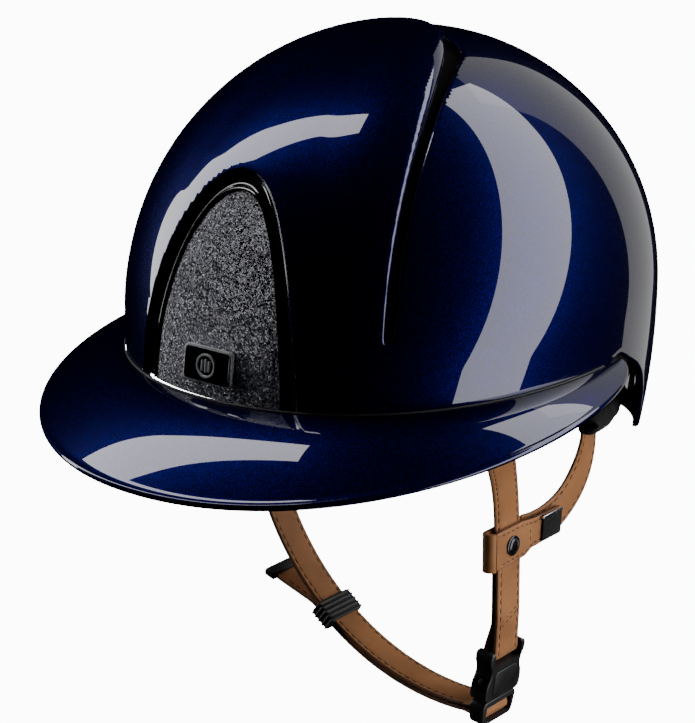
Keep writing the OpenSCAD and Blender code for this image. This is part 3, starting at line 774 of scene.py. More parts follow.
def closed_shell(name, rim, o_out, o_in, mats, nu=144, nv=44, round_r=3.0):
    """A double-walled cap of the dome with a rounded lower edge."""
    ts = np.arange(nu) * 360 / nu
    rings, inner = [], []
    r0 = lat(rim(ts))
    for q in np.linspace(0, 1, nv)[:-1]:
        v = r0 + (89.2 - r0) * q
        drop = rounding((v - r0) * MM_PER_DEG, round_r)
        rings.append(dome(ts, v, o_out + drop))
        inner.append(dome(ts, v, o_in - drop))
    top_o, top_i = dome(0.0, 90.0, o_out), dome(0.0, 90.0, o_in)
    verts = np.concatenate([*inner[::-1], *rings, [top_i, top_o]])
    m = len(inner) + len(rings)
    faces = grid_faces(nu, m, closed=True)
    faces += [[i, (i + 1) % nu, m * nu][::-1] for i in range(nu)]
    last = (m - 1) * nu
    faces += [[last + i, last + (i + 1) % nu, m * nu + 1] for i in range(nu)]
    return make(name, verts, faces, mats, 60)


liner = closed_shell("impact_liner", lambda t: rim_z(t, LINER_RIM), LINER_OUT, LINER_IN, [M["liner"]])
ride(liner, "helmet", "liner", "foam_liner")


def pad_mesh(name, t0, t1, low, high, o_out, o_in, nu=44, nv=16, inset=1.2):
    """A curved slab slightly smaller than its CAD solid, ready to be inflated."""
    t0, t1 = t0 + inset / 2, t1 - inset / 2
    rows = []
    for o in (o_out + 0.6, o_in - 0.6):
        for j in range(nv):
            q = j / (nv - 1)
            for i in range(nu):
                t = t0 + (t1 - t0) * i / (nu - 1)
                a, b = float(low(t)) + inset / 2, float(high(t)) - inset / 2
                rows.append(dome(t, a + (b - a) * q, o))
    n = nu * nv
    faces = grid_faces(nu, nv) + grid_faces(nu, nv, n, flip=True)
    faces += edge_walls(nu, nv)
    return make(name, rows, faces, [M["lining"]], 0)


def inflate(ob, cap=2.2, voxel=4.5, keep_out=None):
    """Swells a pad with a cloth simulation and keeps it between the liner and the head."""
    bpy.context.view_layer.objects.active = ob
    mod = ob.modifiers.new("remesh", "REMESH")
    mod.mode, mod.voxel_size = "VOXEL", voxel * MM
    apply_all(ob)
    rest = np.array([v.co for v in ob.data.vertices])
    cl = ob.modifiers.new("cloth", "CLOTH")
    st = cl.settings
    st.use_pressure, st.uniform_pressure_force = True, 4.0
    st.effector_weights.gravity = 0
    st.quality = 4
    st.tension_stiffness = st.compression_stiffness = 12
    cl.point_cache.frame_start, cl.point_cache.frame_end = 1, 20
    for fr in range(1, 21):
        scene.frame_set(fr)
    dg = bpy.context.evaluated_depsgraph_get()
    moved = np.array([v.co for v in ob.evaluated_get(dg).data.vertices])
    ob.modifiers.clear()
    scene.frame_set(1)
    step = moved - rest
    size = np.linalg.norm(step, axis=1, keepdims=True)
    step *= np.minimum(1, cap * MM / np.maximum(size, 1e-9))
    rest = rest + step
    if keep_out is not None:
        rest = keep_out(rest / MM) * MM
    ob.data.vertices.foreach_set("co", rest.ravel())
    sub = ob.modifiers.new("smooth", "SUBSURF")
    sub.levels = sub.render_levels = 1
    apply_all(ob)
    me = ob.data
    me.materials.clear()
    me.materials.append(M["lining"])
    me.polygons.foreach_set("use_smooth", [True] * len(me.polygons))
    return ob


def keep_below(depth):
    """Moves points that lie nearer the shell than depth back to it."""
    def fix(p):
        q = p.copy()
        up = p[:, 2] > WIDEST
        h = np.where(up, UPPER_H - depth, LOWER_H)
        cz = (p[:, 2] - WIDEST) / h
        f = ((np.abs(p[:, 0]) / (HALF_W - depth)) ** PLAN_N + (np.abs(p[:, 1]) / (HALF_L - depth)) ** PLAN_N)
        size = np.sqrt(f ** (2 / PLAN_N) + cz ** 2)
        over = size > 1
        k = np.where(over, 1 / size, 1)
        q[:, 0] *= k
        q[:, 1] *= k
        q[:, 2] = np.where(over & up, WIDEST + (p[:, 2] - WIDEST) * k, p[:, 2])
        return q
    return fix


fit = keep_below(PAD_TOP + 0.1)
pads = []
brow = pad_mesh("brow_cushion", -52, 52, lambda t: lat(-2), lambda t: lat(26), PAD_TOP, PAD_IN, 60, 14)
pads.append((brow, "brow_pad"))
for s, side in ((1, "left"), (-1, "right")):
    a, b = (58, 92) if s > 0 else (-92, -58)
    p = pad_mesh(f"side_cushion_{side}", a, b, lambda t: lat(-1), lambda t: lat(52), PAD_TOP, PAD_IN, 26, 22)
    pads.append((p, f"side_pad_{side}"))
for ob, node in pads:
    inflate(ob, keep_out=fit)
    ride(ob, "helmet", "lining", node)


def build_crown():
    nu, nv = 48, 12
    verts = []
    for o in (PAD_TOP + 0.6, PAD_IN - 0.6):
        for j in range(nv):
            v = 67.5 + (90 - 67.5) * j / (nv - 0.5)
            verts += [dome(360 * i / nu, v, o) for i in range(nu)]
        verts.append(dome(0.0, 90.0, o))
    n = nu * nv + 1
    faces = []
    for off, flip in ((0, False), (n, True)):
        faces += grid_faces(nu, nv, off, closed=True, flip=flip)
        last = off + (nv - 1) * nu
        faces += [[last + i, last + (i + 1) % nu, off + nu * nv][::(-1 if flip else 1)] for i in range(nu)]
    faces += [[i, (i + 1) % nu, n + (i + 1) % nu, n + i] for i in range(nu)]
    ob = make("crown_cushion", verts, faces, [M["lining"]], 0)
    return inflate(ob, keep_out=fit)


ride(build_crown(), "helmet", "lining", "crown_pad")


def nape_low(t):
    return lat(-43.5 - 8 * np.sin(rad((np.clip(t, 100, 260) - 100) * 180 / 160)) ** 2)


nape = pad_mesh("nape_cushion", 100, 260, nape_low, lambda t: lat(-29.5), LINER_OUT + 3, LINER_IN, 96, 10)
ride(inflate(nape, cap=1.5, voxel=5.0), "helmet", "lining", "nape_pad")


# ---------- sewing ----------
# One stitch: place along it, thickness and lift, both as a share of its radius
STITCH = ((0.0, 0.35, -0.30), (0.16, 0.85, 0.02), (0.5, 1.0, 0.10), (0.84, 0.85, 0.02), (1.0, 0.35, -0.30))


def stitch_rows(name, rows, body, length=2.9, pitch=4.1, r=0.36):
    """Thread stitches along rows of (point, direction, outward) stations, half sunk in the surface."""
    verts, faces = [], []
    for row in rows:
        pts = np.array([q[0] for q in row])
        out = np.array([q[1] for q in row])
        way = distances(pts)
        count = int((way[-1] - 2) // pitch)
        first = (way[-1] - (count - 1) * pitch - length) / 2 if count > 0 else 0

        def at(s):
            return np.array([np.interp(s, way, pts[:, k]) for k in range(3)])

        for q in range(max(count, 0)):
            s0 = first + q * pitch
            a, b = at(s0), at(s0 + length)
            n = unit([np.interp(s0 + length / 2, way, out[:, k]) for k in range(3)])
            d = unit(b - a)
            side = unit(np.cross(d, n))
            off = len(verts)
            for along, fat, lift in STITCH:
                c = a + (b - a) * along + n * (lift * r * 1.6)
                for m in range(6):
                    ang = rad(60 * m + 30)
                    verts.append(c + side * math.cos(ang) * r * fat + n * math.sin(ang) * r * fat * 0.8)
            for j in range(4):
                for m in range(6):
                    x, y = off + j * 6 + m, off + j * 6 + (m + 1) % 6
                    faces.append([x, y, y + 6, x + 6])
            faces.append([off + m for m in range(6)][::-1])
            faces.append([off + 24 + m for m in range(6)])
    ob = make(name, verts, faces, [M["thread"]], 0, recalc=False)
    if body:
        ride(ob, body, "leather")
    return ob


# ---------- straps ----------
END_GAP, SEAM_IN = 0.45, 2.3


def strap_profile(width, thick, groove=True):
    """Closed section of a leather strap: (across, out) points and a material index each."""
    hw, ht, r = width / 2, thick / 2, min(0.75, thick * 0.38)
    flat = [-1, -0.92, -0.84, -0.79, -0.75, -0.71, -0.66, -0.4, 0, 0.4, 0.66, 0.71, 0.75, 0.79, 0.84, 0.92, 1]
    pts, mats = [], []
    for sign in (1, -1):
        for q in flat if sign > 0 else flat[::-1]:
            a = q * (hw - r)
            dip = 0.22 * math.exp(-((abs(a) - (hw - SEAM_IN)) / 0.5) ** 2) if groove else 0
            crown = 0.12 * (1 - (a / hw) ** 2)
            pts.append((a, sign * (ht - dip - 0.12 + crown)))
            mats.append(0)
        for ang in (30, 0, -30):
            pts.append((sign * (hw - r + r * math.cos(rad(ang))), sign * (ht - 0.12) * math.sin(rad(ang))))
            mats.append(1)
    return pts, mats


def frames(path, facing):
    """Along, across and outward unit vectors at each point of a path."""
    p = np.asarray(path, float)
    along = np.gradient(p, axis=0)
    along /= np.linalg.norm(along, axis=1, keepdims=True)
    across = np.cross(along, facing)
    across /= np.linalg.norm(across, axis=1, keepdims=True)
    out = np.cross(across, along)
    return p, along, across, out / np.linalg.norm(out, axis=1, keepdims=True)


def distances(p):
    """Distance along a path at each of its points."""
    return np.concatenate([[0], np.cumsum(np.linalg.norm(np.diff(p, axis=0), axis=1))])


def strap(name, path, facing, width, thick, body, nodes=(), groove=True, sides=(1, -1), sew=True,
          blend=None, ends=(True, True)):
    """A leather strap along a path, with rounded ends and a row of stitches near each edge."""
    p, along, across, out = frames(path, facing)
    prof, pm = strap_profile(width, thick, groove)
    rings = []
    n = len(p)
    way = distances(p)

    def ring_at(i, k, shift=0.0):
        return np.array([p[i] + along[i] * shift + across[i] * (a * k) + out[i] * b * k for a, b in prof])

    if ends[0]:
        rings += [ring_at(0, 0.82), ring_at(0, 0.96, 0.12)]
    for i in range(n):
        if not (ends[0] and way[i] < END_GAP) and not (ends[1] and way[-1] - way[i] < END_GAP):
            rings.append(ring_at(i, 1.0))
    if ends[1]:
        rings += [ring_at(n - 1, 0.96, -0.12), ring_at(n - 1, 0.82)]
    ob = ring_loft(name, rings, [M["leather"], M["leather_edge"]], angle=45, ring_mats=pm)
    if nodes:
        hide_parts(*nodes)
    made = [ob]
    if sew:
        rows = []
        keep = [i for i in range(n) if 2.0 < way[i] < way[-1] - 2.0]
        off, lift = width / 2 - SEAM_IN, thick / 2 - 0.24
        for s in sides:
            for e in (-1, 1):
                rows.append([(p[i] + across[i] * e * off + out[i] * s * lift, out[i] * s) for i in keep])
        made.append(stitch_rows(name + "_stitching", rows, None))
    for o in made:
        if blend:
            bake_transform(o)
        else:
            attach(o, body)
    return ob


def bezier(p, n):
    p = [np.asarray(q, float) for q in p]
    s = np.linspace(0, 1, n)[:, None]
    return (1 - s) ** 3 * p[0] + 3 * s * (1 - s) ** 2 * p[1] + 3 * s * s * (1 - s) * p[2] + s ** 3 * p[3]


def resample(path, step):
    p = np.asarray(path, float)
    way = distances(p)
    n = max(2, int(round(way[-1] / step)) + 1)
    s = np.linspace(0, way[-1], n)
    return np.stack([np.interp(s, way, p[:, k]) for k in range(3)], -1), s / way[-1]


def soften(path, rounds=3):
    p = np.asarray(path, float).copy()
    for _ in range(rounds):
        p[1:-1] = (p[:-2] + 2 * p[1:-1] + p[2:]) / 4
    return p


def mirror_x(path, s):
    return np.asarray(path, float) * [s, 1, 1]


FRONT_T, REAR_T = 66.0, 118.0
front_route = np.concatenate([[dome(FRONT_T, lat(4.8), 4.6)],
                              bezier([dome(FRONT_T, lat(-6), 4.6), dome(FRONT_T, lat(-24), 6.6),
                                      [65, -8, -42], [64, -5, -76]], 60), [[64, -5, -92]]])
rear_route = np.concatenate([[dome(REAR_T, lat(-17.5), 22.6)],
                             bezier([dome(REAR_T, lat(-44), 22.6), [65, 56, -74], [64, 34, -90],
                                     [61.7, 7.3, -86]], 60)])
ROUTES = (("front", front_route, FRONT_T, 0.12, 0.85, 18), ("rear", rear_route, REAR_T, 0.08, 0.6, 17))
for s, side in ((1, "left"), (-1, "right")):
    for place, route, t, turn0, turn1, width in ROUTES:
        path, q = resample(mirror_x(route, s), 1.5)
        turn = smooth(turn0, turn1, q)[:, None]
        facing = plan_normal(t) * [s, 1, 1] * (1 - turn) + np.array([s, 0, 0]) * turn
        strap(f"{place}_strap_leather_{side}", soften(path, 6), facing, width, 2.0, "helmet",
              [f"{place}_strap_{side}"])


def extrude_z(name, outline, z0, z1, mats, bev=0.5, segments=3, angle=40, map_fn=None):
    """A flat outline in XY raised between two heights, with bevelled edges."""
    bm = bmesh.new()
    bottom = [bm.verts.new((x * MM, y * MM, z0 * MM)) for x, y in outline]
    bm.faces.new(bottom)
    up = bmesh.ops.extrude_face_region(bm, geom=list(bm.faces))
    for v in up["geom"]:
        if isinstance(v, bmesh.types.BMVert):
            v.co.z = z1 * MM
    bmesh.ops.recalc_face_normals(bm, faces=bm.faces)
    if map_fn:
        for v in bm.verts:
            v.co = Vector(map_fn(v.co.x / MM, v.co.y / MM, v.co.z / MM)) * MM
    me = bpy.data.meshes.new(name)
    bm.to_mesh(me)
    bm.free()
    ob = link(name, me, mats, 0)
    if bev:
        bevel(ob, bev, segments, angle)
        apply_all(ob)
        ob.data.set_sharp_from_angle(angle=rad(60))
    return ob


def arc2(cx, cy, r, a0, a1, n):
    turns = [rad(a0 + (a1 - a0) * k / n) for k in range(n + 1)]
    return [(cx + r * math.cos(a), cy + r * math.sin(a)) for a in turns]


def build_loops(s, side):
    inside = LOOP_X - 3.3
    outline = ([(inside, FOLD_Y + 24), (inside + 2, FOLD_Y + 24), (LOOP_X - 1.3, FOLD_Y)]
               + arc2(LOOP_X, FOLD_Y, 1.3, 180, 360, 16) + [(LOOP_X + 1.3, FOLD_Y + 0.1)]
               + [(LOOP_X + 3.3, FOLD_Y + 0.1)] + arc2(LOOP_X, FOLD_Y, 3.3, 0, -180, 24) + [(inside, FOLD_Y)])
    keep = [outline[0]]
    for q in outline[1:]:
        if math.dist(q, keep[-1]) > 0.02:
            keep.append(q)
    ob = extrude_z(f"loop_leather_{side}", [(s * x, y) for x, y in keep],
                   LOOP_Z - LOOP_H / 2, LOOP_Z + LOOP_H / 2, [M["leather"]], 0.4, 2)
    ride(ob, "helmet", "leather", f"loop_{side}")


def flap_edges(y, hinge):
    """Lower and upper edge of the snap flap at a place along it."""
    low, high = LOOP_Z - LOOP_H / 2, LOOP_Z + LOOP_H / 2
    at = hinge + np.array([1.35, 21.35, 27.35, 48.0])
    lo_z = np.interp(y, at, low + np.array([0, 0.6, 3.0, 3.2]))
    hi_z = np.interp(y, at + [0, -2, 0, 0], high - np.array([0, 0, 1.2, 1.6]))
    return float(lo_z), float(hi_z)


def build_flap(s, side):
    hinge = FOLD_Y + 0.25
    x0 = LOOP_X + 1.5
    low, high = LOOP_Z - LOOP_H / 2, LOOP_Z + LOOP_H / 2
    root, slope = hinge + 0.4, 12
    ys = np.concatenate([np.linspace(root, root + slope, 9), np.linspace(root + slope + 1.5, hinge + 48, 24)])
    rings = []
    for y in ys:
        lo_z, hi_z = flap_edges(y, hinge)
        seam = 0.35 * math.exp(-((y - (root + slope + 14)) / 1.0) ** 2)
        ends = 0.82 if y in (ys[0], ys[-1]) else 1.0
        sag = 0.25 * math.exp(-((y - LOOP_Y) / 5.0) ** 2)
        ring = []
        c, h = (lo_z + hi_z) / 2, (hi_z - lo_z) / 2 * (1 if ends == 1 else 0.97)
        for a, b, m in flap_profile(h):
            ring.append([s * (x0 + 1.0 + b * ends - (seam + sag * (1 - (a / h) ** 2)) * (b > 0)), y, c + a])
        rings.append(np.array(ring))
    prof = flap_profile(8)
    ob = ring_loft(f"flap_leather_{side}", rings, [M["leather"], M["leather_edge"]], angle=45,
                   ring_mats=[q[2] for q in prof])
    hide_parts(f"snap_flap_{side}")
    rows = []
    out = np.array([s, 0, 0])
    face = x0 + 1.76
    for e in (-1, 1):
        row = []
        for y in np.linspace(root + 1, hinge + 46.5, 40):
            lo_z, hi_z = flap_edges(y, hinge)
            row.append(([s * face, y, (lo_z + 2.0) if e < 0 else (hi_z - 2.0)], out))
        rows.append(row)
    cross_y = root + slope + 12.5
    rows.append([([s * face, cross_y, q], out) for q in np.linspace(low + 3.5, high - 2.0, 12)])
    st = stitch_rows(f"flap_stitching_{side}", rows, None, 2.4, 3.4, 0.33)
    for o in (ob, st):
        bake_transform(o)


def flap_profile(h):
    """Section of the snap flap: (up, out, material) points round a slab of half height h."""
    flat = [-1, -0.9, -0.78, -0.6, -0.3, 0, 0.3, 0.6, 0.78, 0.9, 1]
    pts = []
    for sign in (1, -1):
        for q in flat if sign > 0 else flat[::-1]:
            a = q * (h - 0.6)
            dip = 0.18 * math.exp(-((abs(a) - (h - 2.0)) / 0.5) ** 2)
            pts.append((a, sign * (0.95 - dip), 0))
        for ang in (35, 0, -35):
            pts.append((sign * (h - 0.6 + 0.6 * math.cos(rad(ang))), sign * 0.9 * math.sin(rad(ang)), 1))
    return pts


def lathe(name, profile, origin, axis, mats, n=64, angle=30):
    """Turns (radius, height) points about an axis through origin."""
    z = unit(axis)
    x = unit(np.cross(z, [0, 0, 1] if abs(z[2]) < 0.9 else [1, 0, 0]))
    y = np.cross(z, x)
    rings = []
    rims = [x * math.cos(rad(360 * k / n)) + y * math.sin(rad(360 * k / n)) for k in range(n)]
    for r, h in profile:
        rings.append(np.array([np.asarray(origin) + z * h + rim * max(r, 0.01) for rim in rims]))
    return ring_loft(name, rings, mats, angle=angle)


def box_piece(name, lo, hi, mats, bev=0.3, segments=3):
    """A moulded block with rounded edges between two corners."""
    out = [(lo[0], lo[1]), (hi[0], lo[1]), (hi[0], hi[1]), (lo[0], hi[1])]
    return extrude_z(name, out, lo[2], hi[2], mats, bev, segments)


def build_snap(s, side):
    fx = LOOP_X + 3.5
    prof = [(1.9, -1.7), (1.9, 0.02), (4.45, 0.02), (4.5, 0.25), (4.42, 0.5), (4.2, 0.66), (3.75, 0.72),
            (3.45, 0.62), (3.3, 0.6), (3.1, 0.78), (2.6, 1.0), (1.9, 1.12), (1.0, 1.19), (0.0, 1.2)]
    cap = lathe(f"snap_button_{side}", prof, (s * fx, LOOP_Y, LOOP_Z), (s, 0, 0), [M["dark_metal"]])
    ride(cap, f"flap_{side}", "dark_metal", f"snap_cap_{side}")
    sock = [(0.0, 0.98), (1.4, 0.98), (1.6, 0.7), (2.2, 0.7), (2.5, 0.95), (3.5, 0.95), (3.9, 0.7),
            (4.0, 0.35), (3.9, 0.0), (0.0, 0.0)]
    x = LOOP_X - 3.3 - 0.1
    ob = lathe(f"snap_post_{side}", sock, (s * x, LOOP_Y, LOOP_Z), (-s, 0, 0), [M["dark_metal"]])
    ride(ob, "helmet", "dark_metal", f"snap_socket_{side}")


def build_tag(s, side):
    lo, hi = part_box(f"strap_tag_{side}")
    y0, y1, z0, z1 = lo.y / MM, hi.y / MM, lo.z / MM, hi.z / MM
    x_face = max(abs(lo.x), abs(hi.x)) / MM
    rings = []
    for k in range(25):
        q = k / 24
        z = z0 + (z1 + 1.0 - z0) * q
        slant = 1.0 * (q - 0.5)
        bulge = 0.22 * math.sin(math.pi * q)
        end = 0.8 if k in (0, 24) else 1.0
        ring = [[s * (x_face - 0.45 + bulge + b * end), y0 + (y1 - y0) * a + slant, z] for a, b in
                ((0, -0.3), (0, 0.25), (0.03, 0.36), (0.5, 0.4), (0.97, 0.36), (1, 0.25), (1, -0.3),
                 (0.5, -0.35))]
        rings.append(np.array(ring))
    ob = ring_loft(f"tag_tape_{side}", rings, [M["tag_fabric"]], angle=45)
    ride(ob, f"flap_{side}", "tag_fabric", f"strap_tag_{side}")
    rows = []
    for frac in (0.09, 0.91):
        rows.append([([s * (x_face + 0.16), y0 + (y1 - y0) * q, z0 + (z1 - z0) * frac], [s, 0, 0])
                     for q in np.linspace(0.05, 0.95, 8)])
    st = stitch_rows(f"tag_stitching_{side}", rows, None, 1.2, 1.8, 0.18)
    st.data.materials.clear()
    st.data.materials.append(M["piping"])
    ride(st, f"flap_{side}", "tag_fabric")
    lo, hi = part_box(f"tag_clip_{side}")
    ob = box_piece(f"tag_bar_{side}", [q / MM for q in lo], [q / MM for q in hi], [M["silver"]], 0.35, 4)
    ride(ob, f"flap_{side}", "silver", f"tag_clip_{side}")


for s, side in ((1, "left"), (-1, "right")):
    build_loops(s, side)
    build_flap(s, side)
    build_snap(s, side)
    build_tag(s, side)


# ---------- lower strap: two sewn layers down to the buckle's bar ----------
def along_y(path_xz):
    return np.array([[x, LOOP_Y, z] for x, z in path_xz])


BAR = (BUCKLE[0] - 0.8, BUCKLE[2] - 5.2)
SWING = ("helmet", "chin_harness", (0.064, -0.005, -0.088), (0.064, -0.005, -0.114))


def layer_path(side):
    """Centre line of one layer: out at the top, together at the seam, then round the bar."""
    top = LOOP_Z - LOOP_H / 2 - 3 + 9
    pts = [(LOOP_X + side * 1.08, top), (LOOP_X + side * 1.08, -119), (LOOP_X - 0.2 + side * 1.12, -122)]
    pts += [(BAR[0] + side * 2.7, BAR[1] + 2.4)]
    a0 = 0 if side > 0 else 180
    turns = [rad(a0 - side * a) for a in range(0, 91, 10)]
    pts += [(BAR[0] + 2.65 * math.cos(a), BAR[1] + 2.65 * math.sin(a)) for a in turns]
    return along_y(pts)


for side, name in ((1, "outer"), (-1, "inner")):
    path, q = resample(layer_path(side), 1.2)
    path = soften(path, 2)
    strap(f"lower_strap_{name}", path, np.tile([side, 0, 0.0], (len(path), 1)), 17, 1.95, None,
          ["lower_strap_left"] if side > 0 else [], sides=(1,), blend=SWING, ends=(True, False))
rows = []
for f in (0.0, 2.2):
    rows.append([([LOOP_X + 1.9 - 0.2 * (abs(z) > 119), y, z - f], [1, 0, 0.0])
                 for y, z in zip(np.linspace(LOOP_Y - 7.2, LOOP_Y + 7.2, 16),
                                 np.linspace(-121.5, -115.5, 16))])
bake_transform(stitch_rows("lower_strap_seam", rows, None, 2.2, 3.1, 0.34))


# ---------- buckle ----------
BLACK = [M["black_plastic"]]


def buckle_point(x, y, z):
    """A point of the buckle's own frame, with its mouth at the bottom, in the part's frame."""
    c, s = math.cos(BUCKLE_TILT), math.sin(BUCKLE_TILT)
    return (BUCKLE[0] + x * c + z * s, BUCKLE[1] + y, BUCKLE[2] - x * s + z * c)


def yz_block(name, outline, x0, x1, bev, segments=3, angle=30):
    """An outline in the buckle's YZ plane, thickened along X."""
    return extrude_z(name, outline, x0, x1, BLACK, bev, segments, angle,
                     lambda a, b, h: buckle_point(h, a, b))


def mirrored(half):
    """Closed outline from its +Y half, listed top to bottom."""
    return half + [(-y, z) for y, z in half[::-1]]


female_half = [(10.6, -2.4), (12.2, -2.6), (12.9, -4.2), (12.7, -7.4), (11.2, -10.4), (10.9, -13),
               (11.3, -15), (12.6, -17.5), (13.0, -20), (13.0, -24.2), (12.2, -26.2), (10.5, -27.0)]
body = yz_block("buckle_socket_body", mirrored(female_half), -4.5, 4.5, 1.1, 4)
strap_slot = yz_block("cut_b", mirrored([(9.6, 4), (9.6, -9.6)]), -9, 9, 0)
cavity = yz_block("cut_c", mirrored([(9.5, -10.5), (9.5, -40)]), -2.3, 2.3, 0)
cut(body, strap_slot, cavity)
windows = [lathe(f"cut_w{s}", [(4.1, -4), (4.1, 6)], buckle_point(0, s * 12.0, -18.5), (0, s, 0), BLACK)
           for s in (1, -1)]
cut(body, *windows)
body.data.set_sharp_from_angle(angle=rad(45))
ride(body, "chin_harness", "black_plastic", "buckle_female")
bar = lathe("buckle_socket_bar", [(1.5, -10.8), (1.5, 10.8)], buckle_point(0, 0, -5.2), (0, 1, 0), BLACK)
ride(bar, "chin_harness", "black_plastic")
for s in (1, -1):
    for k in range(4):
        z = -21.4 - 1.25 * k
        outline = [(s * y, z + h) for y, h in ((12.75, -0.32), (13.25, -0.32), (13.25, 0.32), (12.75, 0.32))]
        rib = yz_block(f"buckle_rib_{'rear' if s > 0 else 'front'}_{k}", outline, -3.2, 3.2, 0.15, 2)
        ride(rib, "chin_harness", "black_plastic")
raised = yz_block("buckle_face_panel", mirrored([(7.0, -12.6), (8.2, -14), (8.2, -23), (6.8, -24.6)]),
                  4.3, 4.85, 0.25, 2)
ride(raised, "chin_harness", "black_plastic")

MALE_TOP = -27.4
male_half = [(y, MALE_TOP + z) for y, z in ((9.5, 0.1), (11.4, -0.6), (12.2, -2.4), (11.9, -5), (11.5, -8.4),
                                            (10.6, -11), (9.0, -12))]
male = yz_block("buckle_clip_body", mirrored(male_half), -3.8, 3.8, 0.9, 4)
cut(male, yz_block("cut_d", mirrored([(9.3, MALE_TOP - 2.6), (9.3, MALE_TOP - 9.8)]), -9, 9, 0))
male.data.set_sharp_from_angle(angle=rad(45))
ride(male, "buckle_male", "black_plastic", "buckle_male")
clip_at = buckle_point(0, 0, MALE_TOP - 6.6)
bar = lathe("buckle_clip_bar", [(1.3, -9.8), (1.3, 9.8)], clip_at, (0, 1, 0), BLACK)
ride(bar, "buckle_male", "black_plastic")
tongue_half = [(1.2, MALE_TOP + 7.6), (1.6, MALE_TOP + 6.6), (1.6, MALE_TOP - 0.6)]
tongue = yz_block("buckle_tongue", mirrored(tongue_half), -1.2, 1.2, 0.3, 2)
ride(tongue, "buckle_male", "black_plastic")
for s, side in ((-1, "front"), (1, "rear")):
    outline = [(5.4, 0.5), (7.4, 0.5), (7.7, 3), (8.1, 5.1), (9.2, 6.2), (10.6, 6.6), (11.6, 7.2),
               (11.8, 8.6), (11.7, 10.2), (10.8, 11.6), (9, 12.8), (7.2, 14.2), (5.6, 15), (4.8, 14.8),
               (4.6, 13.6), (5.5, 11.2), (6.2, 9), (5.8, 4)]
    pr = yz_block(f"buckle_prong_{side}", [(s * y, MALE_TOP + z) for y, z in outline], -1.6, 1.6, 0.35, 2)
    ride(pr, f"prong_{side}", "black_plastic", f"prong_{side}")


# ---------- chin strap ----------
def chin_arc(r, a0, a1, step=1.0):
    n = max(2, int(abs(a1 - a0) / step) + 1)
    return [(CHIN[0] + r * math.cos(rad(a)), CHIN[1] + r * math.sin(rad(a))) for a in np.linspace(a0, a1, n)]


def outward(path):
    d = path - np.array([CHIN[0], LOOP_Y, CHIN[1]])
    return d / np.linalg.norm(d, axis=1, keepdims=True)


RELEASE = ("chin_harness", "buckle_male", (-0.012, -0.005, -0.160), (0.050, -0.005, -0.163))
JAW = ("helmet", "chin_harness", (-0.066, -0.005, -0.088), (-0.052, -0.005, -0.122))
SPLIT = 232.5
path = along_y(chin_arc(CHIN_R - 1, 274.3, SPLIT))
strap("chin_strap_buckle_side", path, outward(path), 17, 2.0, None, ["chin_strap"], blend=RELEASE,
      ends=(True, False))
path = along_y(chin_arc(CHIN_R - 1, SPLIT, 204))
strap("chin_strap_far_side", path, outward(path), 17, 2.0, None, blend=JAW, ends=(False, True))

LEAVE, TAIL_DIR, TAIL_LEN = 228.8, 162, 24
tail_pts = chin_arc(CHIN_R + 1.4, 274, LEAVE)
tx, tz = tail_pts[-1]
tail_pts += [(tx + q * math.cos(rad(TAIL_DIR)), tz + q * math.sin(rad(TAIL_DIR)))
             for q in np.linspace(1, TAIL_LEN, 20)]
path, q = resample(along_y(tail_pts), 1.6)
path = soften(path, 4)
face = soften(np.cross(np.gradient(path, axis=0), [0, 1.0, 0]), 2)
if np.dot(face[0], outward(path)[0]) < 0:
    face = -face
strap("chin_tail_leather", path, face, 17, 1.95, None, ["chin_tail"], blend=RELEASE, ends=(True, True))
tail_end = np.array(tail_pts[-1])
way = np.array([math.cos(rad(TAIL_DIR)), math.sin(rad(TAIL_DIR))])
off = np.array([-way[1], way[0]])


def tip_point(a, b, h):
    """a runs along the tail, b across its thickness and h along Y."""
    q = tail_end + way * a + off * b
    return (q[0], LOOP_Y + h, q[1])


tip_side = [(0.1, -1.9), (5.0, -1.9), (6.0, -1.2), (6.1, 0), (6.0, 1.2), (5.0, 1.9), (0.1, 1.9)]
tip = extrude_z("tail_end_cap", tip_side, -9.3, 9.3, BLACK, 0.6, 4, 30, tip_point)
ride(tip, "chin_harness", "black_plastic", "tail_tip")

bar_x, _, bar_z = clip_at
wrap = [chin_arc(CHIN_R - 1, 274.4, 274.4)[0], (bar_x - 2.4, bar_z + 2.3)]
wrap += [(bar_x + 2.5 * math.cos(rad(a)), bar_z + 2.5 * math.sin(rad(a))) for a in range(100, -101, -12)]
wrap += [(bar_x - 2.4, bar_z - 2.4), chin_arc(CHIN_R + 1.4, 274.0, 274.0)[0]]
path, q = resample(along_y(wrap), 1.0)
path = soften(path, 2)
d = path - np.array([bar_x, LOOP_Y, bar_z])
strap("buckle_clip_wrap", path, d / np.linalg.norm(d, axis=1, keepdims=True), 16.6, 2.0, "buckle_male",
      ["male_strap_end"], sew=False, groove=False, ends=(False, False))


# ---------- keeper ----------
def keeper_point(u, y, w):
    """u runs outward from the chin strap's centre, w along the strap."""
    a = rad(SPLIT)
    c, s = math.cos(a), math.sin(a)
    return (CHIN[0] + u * c - w * s, LOOP_Y + y, CHIN[1] + u * s + w * c)


